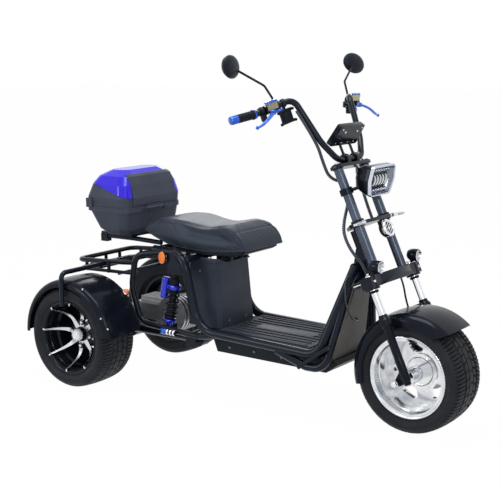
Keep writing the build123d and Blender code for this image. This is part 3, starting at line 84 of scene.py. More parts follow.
view = bpy.data.cameras.new("view")
view.lens, view.sensor_width, view.clip_end = LENS, FILM, 100
camera = stand("camera", view)
turn = Matrix((turned_right, turned_up, back)).transposed().to_4x4()
camera.matrix_world = Matrix.Translation(CAMERA_AT) @ turn
bpy.context.scene.camera = camera
print("camera looks along", tuple(round(-c, 3) for c in back))

# %% [markdown]
# Materials and the world are trees of nodes. Two small helpers keep them short: one adds
# a node with its inputs written by name, and one fills inputs in. A value that is itself
# a node, or one of its outputs, is linked. A plain number or colour is set on the input.

# %% helpers for nodes
def feed(socket, value):
    """Set an input, or link it to a node's first output or to the output given."""
    if isinstance(value, bpy.types.Node):
        value = value.outputs[0]
    if isinstance(value, bpy.types.NodeSocket):
        socket.id_data.links.new(value, socket)
    else:
        socket.default_value = value


def fill(node, **inputs):
    """Feed a node's inputs by name; underscores stand for spaces."""
    for key, value in inputs.items():
        feed(node.inputs[key.replace("_", " ")], value)


def place(tree, kind, *first, **inputs):
    """A new shader node: unnamed values go to its first inputs, the others go by name."""
    node = tree.nodes.new("ShaderNode" + kind)
    for socket, value in zip(node.inputs, first):
        feed(socket, value)
    fill(node, **inputs)
    return node


def math_node(tree, operation, *terms):
    """A node for one sum, product or other operation on its terms."""
    node = place(tree, "Math", *terms)
    node.operation = operation
    return node


def seen_straight(tree):
    """1 for rays from the camera, off mirrors and through glass, 0 for light on the object."""
    ray = place(tree, "LightPath").outputs
    mirrored_ray = math_node(tree, "MAXIMUM", ray["Is Glossy Ray"], ray["Is Transmission Ray"])
    return math_node(tree, "MAXIMUM", ray["Is Camera Ray"], mirrored_ray)


print("node helpers ready")

# %% [markdown]
# Studio light: one large soft lamp overhead, one at the front right behind the camera, a
# tall one at the side and a weak one at the rear. Black paint shows no colour of its own,
# so what is seen on it is the shape of these lamps. The world looks white to the camera,
# to mirrors and through glass, and a dimmer grey lights the object, so that colours
# render about as they are written.

# %% light
WHITE = (1, 1, 1, 1)


def soft_lamp(name, spot, target, size, power):
    """An area lamp at a place, turned to face a target."""
    lamp = bpy.data.lights.new(name, "AREA")
    lamp.shape, lamp.size, lamp.size_y, lamp.energy = "RECTANGLE", size[0], size[1], power
    aim = (Vector(target) - Vector(spot)).to_track_quat("-Z", "Y").to_matrix().to_4x4()
    stand(name, lamp).matrix_world = Matrix.Translation(spot) @ aim


soft_lamp("lamp_over", (0.2, -0.6, 3.6), (0, 0, 0.4), (2.2, 1.5), 75)
soft_lamp("lamp_front", (3.4, -2.6, 2.4), (0.2, 0, 0.6), (1.3, 1.3), 36)
soft_lamp("lamp_side", (-2.2, -3.6, 1.9), (-0.3, 0, 0.5), (1.0, 1.7), 32)
soft_lamp("lamp_back", (-2.4, 3.0, 2.6), (0, 0, 0.6), (1.6, 1.6), 26)

world = bpy.data.worlds.new("studio")
bpy.context.scene.world = world
world.use_nodes = True
sky = world.node_tree
sky.nodes.clear()
dim, bright = (place(sky, "Background", Color=WHITE, Strength=s) for s in (0.5, 1.0))
place(sky, "OutputWorld", place(sky, "MixShader", seen_straight(sky), dim, bright))
bpy.context.scene.view_settings.view_transform = "Standard"
print("four soft lamps and a white world")

# %% [markdown]
# The floor is one pale sheet. A plain white sheet under these lamps renders a little
# grey, so a camera ray also sees a share of glow. What is left of the plain surface
# keeps the shadow under the tyres.

# %% floor
FLOOR_HALF, GLOW_SHARE = 30, 0.985
sheet = bpy.data.meshes.new("studio_floor")
sheet.from_pydata([(x * FLOOR_HALF, y * FLOOR_HALF, 0) for x, y in ((-1, -1), (1, -1), (1, 1), (-1, 1))],
                  [], [(0, 1, 2, 3)])
stand("studio_floor", sheet)
pale = bpy.data.materials.new("pale_floor")
pale.use_nodes = True
tree = pale.node_tree
tree.nodes.clear()
share = math_node(tree, "MULTIPLY", seen_straight(tree), GLOW_SHARE)
matt = place(tree, "BsdfDiffuse", Color=(0.86, 0.86, 0.86, 1))
shine = place(tree, "Emission", Color=WHITE, Strength=1.0)
place(tree, "OutputMaterial", place(tree, "MixShader", share, matt, shine))
sheet.materials.append(pale)
print("floor laid")

# %% [markdown]
# Most finishes on the scooter are the same recipe with other numbers: a colour that
# drifts slowly between two shades, a gloss that is never quite even, and a fine bump
# for the grain. One helper writes that recipe. A colour or number that is the same all
# over is written on the shader itself; only what varies comes through nodes.

# %% the general recipe for a finish
def fresh(name):
    """A new material with nodes, its tree, and its Principled shader."""
    material = bpy.data.materials.new(name)
    material.use_nodes = True
    return material, material.node_tree, material.node_tree.nodes["Principled BSDF"]


def own_place(tree):
    """The output that gives a point's place in the object's own coordinates."""
    return place(tree, "TexCoord").outputs["Object"]


def finish(name, colour, shade, rough, spread=0.05, metal=0.0, coat=0.0, drift=9.0, grain=900.0,
           bump=0.0, depth=0.0004, shine=0.5):
    """Principled surface: colour and gloss from slow noise, a fine bump from quick noise.

    The gloss ranges by the spread on both sides of rough. A finish that isn't metal
    gets a painted blue tint in its reflections and coat, which stands in for a bluish light.
    """
    material, tree, shader = fresh(name)
    fill(shader, Metallic=metal, Coat_Weight=coat, Coat_Roughness=0.06, Coat_IOR=1.35,
         Specular_IOR_Level=shine)
    if not metal:
        # painted highlight colour: this blue tint on reflections and coat stands in for a bluish light
        fill(shader, Specular_Tint=(0.62, 0.78, 1.0, 1), Coat_Tint=(0.9, 0.95, 1.0, 1))
    where = own_place(tree)
    ramp = place(tree, "ValToRGB", place(tree, "TexNoise", Vector=where, Scale=drift, Detail=3.0))
    for stop, position, tone in zip(ramp.color_ramp.elements, (0.32, 0.68), (shade, colour)):
        stop.position, stop.color = position, (*tone, 1)
    uneven = place(tree, "TexNoise", Vector=where, Scale=drift * 4.3, Detail=5.0)
    gloss = place(tree, "MapRange", uneven, To_Min=max(rough - spread, 0.02), To_Max=min(rough + spread, 1))
    fill(shader, Base_Color=ramp, Roughness=gloss)
    if bump:
        fine = place(tree, "TexNoise", Vector=where, Scale=grain, Detail=2.0)
        fill(shader, Normal=place(tree, "Bump", Strength=bump, Distance=depth, Height=fine))
    return material


print("recipe ready")

# %% [markdown]
# Paint, plastic, rubber and metal, each as the real one looks. Powder coat on the tubes
# is a deep blue black with a clear gloss; mouldings are a grained charcoal; the front
# wheel is polished aluminium, which is nearly a mirror with faint lathe marks.

# %% finishes
frame_paint = finish("frame_paint", (0.0065, 0.0085, 0.015), (0.004, 0.005, 0.009), 0.27, coat=0.25,
                     grain=340, bump=0.1, depth=0.0003, shine=0.16)
gloss_black = finish("gloss_black", (0.0065, 0.0075, 0.0125), (0.0045, 0.0053, 0.0095), 0.2, coat=0.16,
                     grain=120, bump=0.03, depth=0.0003, shine=0.1)
tube_paint = finish("tube_paint", (0.07, 0.092, 0.14), (0.045, 0.06, 0.095), 0.28, metal=0.35,
                    coat=0.4, grain=1500, bump=0.08, shine=0.25)
dark_plastic = finish("dark_plastic", (0.009, 0.01, 0.013), (0.006, 0.0065, 0.008), 0.46, 0.08,
                      grain=1400, bump=0.2, shine=0.22)
case_plastic = finish("case_plastic", (0.048, 0.054, 0.076), (0.036, 0.041, 0.058), 0.5, 0.06,
                      grain=1200, bump=0.35, shine=0.25)
cowl_plastic = finish("cowl_plastic", (0.028, 0.033, 0.047), (0.018, 0.022, 0.032), 0.44, 0.07,
                      grain=1500, bump=0.3, shine=0.3)
cover_paint = finish("cover_paint", (0.16, 0.15, 0.135), (0.12, 0.112, 0.1), 0.5, 0.08, grain=700,
                     bump=0.2, shine=0.3)
deck_rubber = finish("deck_rubber", (0.026, 0.029, 0.037), (0.038, 0.042, 0.052), 0.58, 0.1,
                     bump=0.35, shine=0.16)
tyre_rubber = finish("tyre_rubber", (0.0145, 0.015, 0.0175), (0.022, 0.0228, 0.0255), 0.48, 0.1,
                     grain=700, bump=0.25, drift=14, shine=0.14)
blue_gloss = finish("blue_gloss", (0.032, 0.008, 0.62), (0.022, 0.006, 0.5), 0.14, 0.04, coat=0.35,
                    shine=0.35)
blue_metal = finish("blue_metal", (0.01, 0.06, 0.62), (0.008, 0.04, 0.5), 0.24, 0.06, metal=0.9,
                    grain=1800, bump=0.1)
chrome = finish("chrome", (0.82, 0.83, 0.86), (0.7, 0.71, 0.75), 0.07, 0.04, metal=1.0)
cast_metal = finish("cast_metal", (0.5, 0.51, 0.53), (0.38, 0.39, 0.41), 0.42, 0.1, metal=0.9,
                    grain=700, bump=0.35)
steel = finish("steel", (0.5, 0.5, 0.52), (0.36, 0.36, 0.38), 0.3, 0.08, metal=1.0, grain=1000, bump=0.1)
amber = finish("amber_lens", (0.95, 0.22, 0.01), (0.8, 0.16, 0.01), 0.18, coat=0.8)
print("finishes:", len(bpy.data.materials))

# %% [markdown]
# The headlamp's lens is clear plastic, thin enough that it hardly bends light: it is
# nearly transparent, and what is left of it is a dark gloss that catches the lamps.
# Leather has pores, which are the cells of a Voronoi pattern, and creases over them. The
# two heights are added before one bump node reads them.

# %% clear lens and leather
clear_lens, tree, shader = fresh("clear_lens")
fill(shader, Base_Color=(0.05, 0.055, 0.06, 1), Roughness=0.03, IOR=1.45, Alpha=0.14)

seat_leather = finish("seat_leather", (0.017, 0.021, 0.031), (0.012, 0.015, 0.023), 0.42, 0.07, shine=0.35)


def shader_of(material):
    """The Principled shader of a finish."""
    return material.node_tree.nodes["Principled BSDF"]


tree = seat_leather.node_tree
where = own_place(tree)
pores = place(tree, "TexVoronoi", Vector=where, Scale=520.0)
creases = place(tree, "TexNoise", Vector=where, Scale=60.0, Detail=6.0)
fill(shader_of(seat_leather), Normal=place(tree, "Bump", Strength=0.35, Distance=0.0005,
                                           Height=math_node(tree, "ADD", pores, creases)))
print("lens and leather ready")

# %% [markdown]
# Each solid gets its finish here, also where a finer piece will stand in for it later.
# The front rim gets fine turning marks: rings round the axle, which a wave pattern on
# the distance from the axle draws.

# %% dress the solid pieces
def joint_place(name):
    """Where a joint is, in millimetres."""
    return 1000 * np.array(next(j["pos_m"] for j in frame["joints"] if j["name"] == name))


front_axle_at = joint_place("front_wheel_roll")
# The colour drifts from pale cream to a blue grey. The blue grey is painted reflection: the darker surroundings that
# a polished rim shows.
turned = finish("turned_aluminium", (0.84, 0.84, 0.83), (0.6, 0.63, 0.68), 0.15, 0.08, metal=1.0, drift=22)
tree = turned.node_tree
to_axle = place(tree, "Mapping", Vector=own_place(tree), Location=tuple(-front_axle_at / 1000))
rings = place(tree, "TexWave", Vector=to_axle, Scale=90.0, Distortion=0.6, Detail=1.0)
rings.wave_type, rings.rings_direction = "RINGS", "Y"
fill(shader_of(turned), Normal=place(tree, "Bump", Strength=0.05, Distance=0.0003,
                                     Height=rings.outputs["Fac"]))
wear = {
    frame_paint: "main_frame swing_arm seat_hinge rear_rack box_bracket handlebar lower_yoke "
                 "upper_yoke bar_riser rear_axle",
    gloss_black: "rear_fender_left rear_fender_right front_fender fork_sliders front_calliper",
    tube_paint: "fork_tubes",
    dark_plastic: "seat_base mirrors switch_pods phone_holder fog_lamps instrument_panel "
                  "battery_box grips wire_looms brake_hose brake_cable",
    case_plastic: "box_tub box_lid",
    cowl_plastic: "seat_cowl",
    cover_paint: "front_cover",
    deck_rubber: "floor_deck",
    tyre_rubber: "front_tyre rear_tyre_left rear_tyre_right",
    blue_gloss: "lid_panel",
    blue_metal: "shock_left shock_right brake_levers pillion_pegs",
    chrome: "fork_stanchions front_axle horn turn_signals headlamp",
    turned: "front_rim",
    steel: "front_disc rear_rim_left rear_rim_right",
    cast_metal: "drive_motor",
    amber: "reflectors",
    clear_lens: "headlamp_lens",
    seat_leather: "seat_cushion",
}
dressed = set()
for material, names in wear.items():
    for name in names.split():
        nodes[name].data.materials.clear()
        nodes[name].data.materials.append(material)
        dressed.add(name)
print("undressed nodes:", sorted(set(nodes) - dressed))

# %% [markdown]
# New pieces are surfaces: a grid of points worked out from two numbers, such as an angle
# and a distance along a profile. Sizes in these cells are in millimetres, as on a drawing,
# and the last helper turns them into metres. It also merges points that lie on each other,
# turns the faces outwards, keeps hard edges hard, and lets the piece ride on its body.

# %% shapes from grids
SIDES = (-1, 1)
X, Y, Z = np.eye(3)


def skin(grid, wrap_rows=False, wrap_cols=False, capped=False):
    """Four-sided faces between each row and the next; capped closes the two end rows."""
    rows, cols = grid.shape[:2]
    r = np.arange(rows if wrap_rows else rows - 1)
    c = np.arange(cols if wrap_cols else cols - 1)
    r, c = np.meshgrid(r, c, indexing="ij")
    r2, c2 = (r + 1) % rows, (c + 1) % cols
    quads = np.stack([r * cols + c, r * cols + c2, r2 * cols + c2, r2 * cols + c], axis=-1)
    faces = quads.reshape(-1, 4).tolist()
    if capped:
        faces += [list(range(cols))[::-1], list(range((rows - 1) * cols, rows * cols))]
    return grid.reshape(-1, 3), faces


def join(*shapes):
    """Several shapes as one: the points in a row, the face numbers moved up to match."""
    faces, start = [], 0
    for points, some in shapes:
        faces += [[i + start for i in face] for face in some]
        start += len(points)
    return np.concatenate([points for points, some in shapes]), faces


def mirrored(shape):
    """The same shape on the other side: the sideways number changes its sign."""
    return shape[0] * np.array([1, -1, 1]), shape[1]


def clean(source, target):
    """Writes a mesh into another, its doubled points merged and its faces turned outwards."""
    work = bmesh.new()
    work.from_mesh(source)
    bmesh.ops.remove_doubles(work, verts=work.verts, dist=2e-6)
    bmesh.ops.recalc_face_normals(work, faces=work.faces)
    work.to_mesh(target)
    work.free()
    return target


def piece(name, shape, material, body="steering", sharp=35, hides="", slot=""):
    """An object from a shape in millimetres, or from a list of them joined. It rides on a
    body, and stands for the solids it hides. The slot argument is not used."""
    points, faces = join(*shape) if isinstance(shape, list) else shape
    mesh = bpy.data.meshes.new(name)
    mesh.from_pydata((points / 1000).tolist(), [], faces)
    clean(mesh, mesh)
    mesh.shade_smooth()
    mesh.set_sharp_from_angle(angle=math.radians(sharp))
    mesh.materials.append(material)
    thing = stand(name, mesh)
    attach(thing, body)
    if hides:
        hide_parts(*hides.split())
    return thing


print("grid helpers ready")

# %% [markdown]
# Nearly every piece is one of five kinds of grid: a profile turned round an axis, a circle
# carried along a path, an outline pushed straight through, the same with a softened rim,
# and a row of outlines joined up.

# %% turned, drawn and flat shapes
def unit(v):
    """The same direction with a length of one."""
    return np.asarray(v, float) / np.linalg.norm(v)


def lathe(profile, centre, axis=Y, steps=96, closed=None):
    """Turned part: each (radius, along) of the profile goes round the axis through the centre.

    A profile that starts off the axis is a ring, and its end is joined to its start.
    """
    profile, axis = np.asarray(profile, float), unit(axis)
    u = unit(np.cross(Z if abs(axis[2]) < 0.9 else X, axis))
    v = np.cross(axis, u)
    a = np.linspace(0, 2 * np.pi, steps, endpoint=False)[:, None, None]
    r, t = profile[None, :, 0, None], profile[None, :, 1, None]
    grid = np.asarray(centre, float) + r * (np.cos(a) * u + np.sin(a) * v) + t * axis
    return skin(grid, wrap_rows=True, wrap_cols=profile[0, 0] > 0 if closed is None else closed)


def collar(inner, outer, half, centre, axis, steps=40, drop=1, ease=2):
    """Ring round an axis, half as long each way, with its two outer edges cut off."""
    return lathe([(inner, -half), (outer - drop, -half), (outer, ease - half), (outer, half - ease),
                  (outer - drop, half), (inner, half)], centre, axis, steps)


def tube(path, radius, sides=12, ref=Y, flat=1.0):
    """Round bar: a circle of the radius across the path at each of its points, ends closed.
    flat below 1 presses the circle into an oval, thin in the direction square to ref."""
    path = np.asarray(path, float)
    ahead = np.gradient(path, axis=0)
    ahead /= np.linalg.norm(ahead, axis=1, keepdims=True)
    u = np.cross(ahead, np.asarray(ref, float))
    u /= np.linalg.norm(u, axis=1, keepdims=True)
    v = np.cross(ahead, u)
    a = np.linspace(0, 2 * np.pi, sides, endpoint=False)[None, :, None]
    r = np.broadcast_to(np.asarray(radius, float), (len(path),))[:, None, None]
    grid = path[:, None, :] + r * (np.cos(a) * u[:, None, :] + flat * np.sin(a) * v[:, None, :])
    return skin(grid, wrap_cols=True, capped=True)


def arc_through(points, steps=24):
    """Smooth curve with the points as its control points: Bezier's sum of binomial weights."""
    points = np.asarray(points, float)
    n, t = len(points) - 1, np.linspace(0, 1, steps)[:, None]
    weights = [math.comb(n, k) * t ** k * (1 - t) ** (n - k) for k in range(n + 1)]
    return sum(w * p for w, p in zip(weights, points))


def outline_rows(outline, axes, origin, levels):
    """Closed skin through copies of an outline: each level is a (scale, height) on the axes.

    The outline lies in the first two axes, and the height goes along the third.
    """
    outline, origin = np.asarray(outline, float), np.asarray(origin, float)
    rows = [(outline * scale)[:, :1] * axes[0] + (outline * scale)[:, 1:] * axes[1] + height * axes[2] + origin
            for scale, height in levels]
    return skin(np.stack(rows), wrap_cols=True, capped=True)


def prism(outline, near, far, axes, origin):
    """Flat plate: an outline carried from near to far."""
    return outline_rows(outline, axes, origin, ((1, near), (1, far)))


def pad(outline, thick, edge, axes, origin):
    """Plate with a softened rim: the outline shrinks by the edge over the last of its thickness."""
    size = np.abs(outline).max(axis=0)
    levels = ((0, 0), (0, thick - edge), (0.3 * edge, thick - 0.3 * edge), (edge, thick))
    return outline_rows(outline, axes, origin, [((size - inset) / size, height) for inset, height in levels])


def rounded(width, height, corner, steps=5):
    """Outline of a rectangle with round corners, about its middle."""
    a = np.linspace(0, np.pi / 2, steps + 1)
    turns = [np.stack([np.cos(a + k * np.pi / 2), np.sin(a + k * np.pi / 2)], axis=1) for k in range(4)]
    reach = np.array([width / 2 - corner, height / 2 - corner])
    return np.concatenate([np.array(s) * reach + corner * t
                           for s, t in zip(((1, 1), (-1, 1), (-1, -1), (1, -1)), turns)])


def hexagon(radius):
    """Six corners of a nut."""
    a = np.radians(np.arange(6) * 60)
    return radius * np.stack([np.cos(a), np.sin(a)], axis=1)


print("shape helpers ready")

# %% [markdown]
# The fork leans back, so its pieces are placed in the steering's own frame: forward,
# sideways and up along the steering axis, from a point below it. Bolts are needed all
# over, so the two kinds are made here: one with six sides on a washer, and a round one
# with a hollow socket.

# %% the fork's own frame, and bolts
rear_axle_at = {side: joint_place(f"rear_{side}_roll") for side in ("left", "right")}
RAKE, FORK_OFFSET = math.radians(24.5), 40
fork_foot = front_axle_at - FORK_OFFSET * X
fork_foot[1] = 0
fork_u = np.array([math.cos(RAKE), 0, math.sin(RAKE)])
fork_w = np.array([-math.sin(RAKE), 0, math.cos(RAKE)])
LEVEL, ON_SIDE, FACING_BACK = (X, Y, Z), (fork_u, fork_w, Y), (Y, Z, -X)
ON_FORK = (fork_u, Y, fork_w)


def fork(points):
    """World points from places in the steering's frame: forward, sideways, up along it."""
    points = np.asarray(points, float)
    return fork_foot + points[..., :1] * fork_u + points[..., 1:2] * Y + points[..., 2:] * fork_w


def bolt(at, along, across=8.0, high=7.0):
    """Hexagon bolt on a washer: three short stacked profiles about one line."""
    along = unit(along)
    side = unit(np.cross(along, (0.31, 0.77, 0.55)))
    washer = lathe([(0, -1), (across * 1.02, -1), (across * 1.06, 0.8), (0, 1.6)], at, along, 24)
    return join(washer, pad(hexagon(across * 0.82), high, 1.0, (side, np.cross(along, side), along), at + along))


def cap_bolt(at, along, radius=5.5, high=5.0):
    """Round bolt head with a hollow socket: a closed profile turned about its line."""
    return lathe([(0, -1), (radius, -1), (radius, high - 1), (radius - 1, high), (radius * 0.5, high),
                  (radius * 0.42, high - 2.5), (0, high - 2.5)], at, along, 20)


print("front axle", front_axle_at.round(1), "rear axle", rear_axle_at["left"].round(1))

# %% [markdown]
# The tyres are wide and low. Their tread is one surface of revolution whose radius drops
# wherever a groove runs: grooves straight round the tyre, slanted cuts between them, and
# short cross cuts on both shoulders. The cuts fall exactly on steps of the grid, so their
# edges stay crisp. Each tyre is one closed skin, from bead to bead and back inside.

# %% tyre shape
TYRE_STEPS, TREAD_HALF = 720, 98
wall = [(152, 84), (160, 87), (166.5, 90.5), (167.5, 93.5), (171, 96.5), (173, 96.2), (176, 99), (184, 104),
        (192, 106.8), (193.5, 105.8), (200, 106.3), (205, 105.6), (206.5, 104.2), (211, 101.8), (215, 99),
        (218.5, 95.5), (221.3, 91.5), (223.6, 87)]


def tread_cut(around, across, depth, lean):
    """How deep the tread is cut at a step round the tyre and a distance across it.

    Straight grooves where the distance is near 16 or 46; cross cuts on the shoulder, two
    steps in every eight; slanted cuts in between, moved along by the distance times lean.
    """
    side = np.abs(across)
    slant = (around + np.round(side * lean / 2)) % 16
    middle = (side > 19) & (side < 43) & (slant < 3)
    crown = (side < 13) & ((around + np.round(side * lean / 3)) % 24 < 2)
    cross = (side > 50) & ((around + np.round((side - 50) * 0.06)) % 8 < 2)
    long_cut = (side > 70) & ((around + 3) % 16 < 1)
    straight = (np.abs(side - 46) < 3.4) | (np.abs(side - 16) < 2.6)
    cut = np.select([straight, cross, crown, middle], [1.0, 0.9, 0.5, 0.8])
    return depth * np.maximum(cut, 0.3 * long_cut)


def tyre_skin(centre, depth, lean):
    """Tyre round its axle: side walls, shoulders, cut tread, then back through the inside.

    Over the tread the radius is 230 in the middle and falls with a power of the distance.
    """
    inner = np.concatenate([np.linspace(84, 52, 9), [49.4, 49.2, 42.8, 42.6, 38, 33, 28, 23, 18.6, 18.4,
                                                     13.4, 13.2, 9, 4, 0]])
    half = np.concatenate([wall, np.stack([230 - 5.2 * (inner / 84) ** 2.6, inner], axis=1)])
    profile = np.concatenate([half[:-1] * [1, -1], half[::-1]])
    a = np.linspace(0, 2 * np.pi, TYRE_STEPS, endpoint=False)[:, None]
    across = profile[None, :, 1]
    cut = tread_cut(np.arange(TYRE_STEPS)[:, None], across, depth, lean)
    radius = profile[:, 0] - np.where(np.abs(across) < TREAD_HALF, cut, 0)
    grid = np.stack([radius * np.cos(a), np.broadcast_to(across, radius.shape), radius * np.sin(a)], axis=-1)
    return skin(grid + centre, wrap_rows=True, wrap_cols=True)


front_tread = piece("front_tyre_tread", tyre_skin(front_axle_at, 7.0, 0.5), tyre_rubber, "front_wheel", 28,
                    "front_tyre", "tyre")
for side, hub_at in rear_axle_at.items():
    piece(f"rear_tyre_tread_{side}", tyre_skin(hub_at, 5.0, 0.25), tyre_rubber, f"rear_wheel_{side}", 28,
          f"rear_tyre_{side}", "tyre")
print("three tyres,", len(front_tread.data.polygons), "faces each")

# %% [markdown]
# The rear wheels are black cast wheels with a bright machined face. Eight thin spokes
# stand on a deep hub and sweep outwards as they near the rim. The blade is a strip whose
# width falls from hub to rim and whose depth follows a power curve; the bright face is a
# thin strip that lies on it.

# %% rear wheels
BOLT_RING, RIM_RING = 55, 157


def spoke(angle, out, near, far, slim):
    """A blade along the radius at an angle: four corners across it at each of many radii.

    Its face is flat at the hub, then sweeps out to the rim; near and far are the blade's
    two sides, measured from that face. Its width falls with a power of the radius.
    """
    r = np.concatenate([np.linspace(24, 140, 16), np.linspace(144, 158, 5)])
    width = (3.2 + 10.5 * np.clip((152 - r) / 120, 0, 1) ** 1.2) * slim
    across = np.stack([-width, width, width, -width], axis=1)
    sweep = 8 + 87 * np.clip((r - 72) / 76, 0, 1) ** 2.2
    deep = sweep[:, None] + np.array([near, near, far, far])
    c, s = math.cos(angle), math.sin(angle)
    return skin(np.stack([r[:, None] * c - across * s, out * deep, r[:, None] * s + across * c], axis=-1),
                wrap_cols=True, capped=True)


def on_wheel(centre, radius, angle):
    """A place at a radius and an angle round an axle."""
    return centre + radius * np.array([math.cos(angle), 0, math.sin(angle)])


black_cast = finish("black_cast", (0.007, 0.008, 0.012), (0.004, 0.005, 0.007), 0.24, 0.06, coat=0.25,
                    grain=500, bump=0.05, shine=0.15)
machined = finish("machined_face", (0.74, 0.75, 0.78), (0.62, 0.63, 0.67), 0.26, 0.08, metal=1.0,
                  grain=1600, bump=0.12)
cap_paint = finish("silver_cap", (0.93, 0.93, 0.94), (0.86, 0.87, 0.89), 0.3, coat=0.6)
angles = np.radians(-6 + 45 * np.arange(8))
for side, out in (("left", 1), ("right", -1)):
    hub_at, body, way = rear_axle_at[side], f"rear_wheel_{side}", out * Y
    barrel = lathe([(165, 94), (160, 94.6), (157, 93), (153, 88), (151, 80), (150.5, 62), (148, 58), (147, 20),
                    (140, 12), (139, -40), (143, -46), (146, -80), (152, -94), (165, -94), (165, -90),
                    (151.5, -85), (151.5, 85), (165, 90)], hub_at, way, 128)
    blades, faces = ([(points + hub_at, quads) for points, quads in (spoke(a, out, *size) for a in angles)]
                     for size in ((-15, 0, 1.15), (-0.2, 0.9, 1.0)))
    hub = lathe([(0, 6), (60, 6), (68, 2), (72, -8), (140, -30), (140, -36), (70, -24), (40, -60), (0, -60)],
                hub_at, way, 64)
    neck = lathe([(0, 30), (30, 30), (32, 27), (34, 6), (0, 6)], hub_at, way, 48)
    bolt_spots = [on_wheel(hub_at, BOLT_RING, a) for a in angles[::2]]
    bosses = [lathe([(0, 5), (8.5, 5), (9, 12), (13, 12), (14, 10), (14, 2), (0, 2)], spot, way, 24)
              for spot in bolt_spots]
    piece(f"rear_wheel_cast_{side}", [barrel, hub, neck, *blades, *bosses], black_cast, body, 30,
          f"rear_rim_{side}", "dark_rim")
    piece(f"rear_spoke_faces_{side}", faces, machined, body, 30)
    top = 1000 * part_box("rear_axle")[1][1] - rear_axle_at["left"][1] + 3
    cap = lathe([(0, top), (12, top - 0.8), (21, top - 4), (26, top - 9), (28.5, top - 16), (28.5, 28), (0, 28)],
                hub_at, way, 48)
    piece(f"rear_hub_cap_{side}", cap, cap_paint, body)
    bolts = []
    for spot in bolt_spots:
        bolts += [prism(hexagon(7.6), 5, 15.5, (X, Z, way), spot),
                  lathe([(0, 18), (4, 17.5), (5.6, 15.5), (0, 15.5)], spot, way, 16)]
    bolts += [lathe([(0, 96.4), (3.2, 96), (4.4, 94.6), (4.6, 90), (0, 90)], on_wheel(hub_at, RIM_RING, a), way, 16)
              for a in angles]
    piece(f"rear_wheel_bolts_{side}", bolts, chrome, body)
print("rear wheels: eight spokes, four bolts and a cap each")

# %% [markdown]
# A turned sleeve lines the front wheel's barrel: a narrow rolled lip, two small steps and
# a long slope down to the pierced disc. A boss, a long sleeve on the axle and a valve
# stand inside it, and a nut closes each end of the axle.

# %% front wheel lining and axle ends
def lining(out, reach):
    """Sleeve inside the barrel on one side: rolled lip, steps, then a slope to the disc."""
    a = np.linspace(0, np.pi, 9)
    lip = np.stack([161.5 + 5 * np.cos(a), 92.6 + 3.4 * np.sin(a)], axis=1)
    inside = [(155, 91), (151.5, 84), (150, 76), (146.9, 72), (146.5, 58), (143.6, 55), (142.5, reach),
              (147.6, reach), (148, 70), (156, 88)]
    return lathe(np.concatenate([lip, inside]), front_axle_at, out * Y, 160)


boss = lathe([(0, -4), (40, -4), (54, -8), (60, -13), (73, -13.4), (75, -9), (75, -4)],
             front_axle_at + 26 * Y, Y, closed=True)
sleeve = lathe([(0, -20), (33, -20), (34, -96), (30, -99), (16, -99.5), (0, -99.5)], front_axle_at, Y, 64)
valve = tube(front_axle_at + np.array([[88, 18, 118], [86, 0, 115], [85, -14, 113]]), [3.5, 3.5, 2.6], ref=X)
piece("front_rim_lining", [lining(-1, -18), lining(1, 46)], turned, "front_wheel", 30)
piece("front_wheel_boss", [boss, sleeve], turned, "front_wheel")
piece("front_valve", valve, dark_plastic, "front_wheel")
ends = []
for out in SIDES:
    ends += [prism(hexagon(12.4), 190, 199, (X, Z, out * Y), front_axle_at),
             lathe([(0, 202), (6, 201.5), (8, 199), (0, 199)], front_axle_at, out * Y, 24)]
piece("front_axle_nuts", ends, chrome)
print("front wheel lined")

# %% [markdown]
# Each rear shock is a coil-over: a wound spring round a black damper, a notched blue
# collar at each end, and a blue gas tank beside it. The spring is a tube that follows a
# helix. Its ends close up flat against the collars, as a ground spring does, so the
# climb per turn eases off at both ends.

# %% rear shocks
def shock_line(side):
    """Foot, direction and length of a shock, from the middles of its two eyes."""
    low, top = np.array([-386.0, side * 158.0, 270.0]), np.array([-333.0, side * 158.0, 547.0])
    return low, unit(top - low), np.linalg.norm(top - low)


def spring(low, axis, start, end, coil, wire, turns):
    """Helix round an axis whose climb follows a smooth step, so that the end turns lie flat."""
    t = np.linspace(0, 1, int(turns * 26))
    climb = start + (end - start) * (0.12 * t + 0.88 * t * t * (3 - 2 * t))
    u = np.cross(axis, Y)
    a = 2 * np.pi * turns * t[:, None]
    return tube(low + climb[:, None] * axis + coil * (np.cos(a) * u + np.sin(a) * np.cross(axis, u)), wire, 9,
                ref=axis)


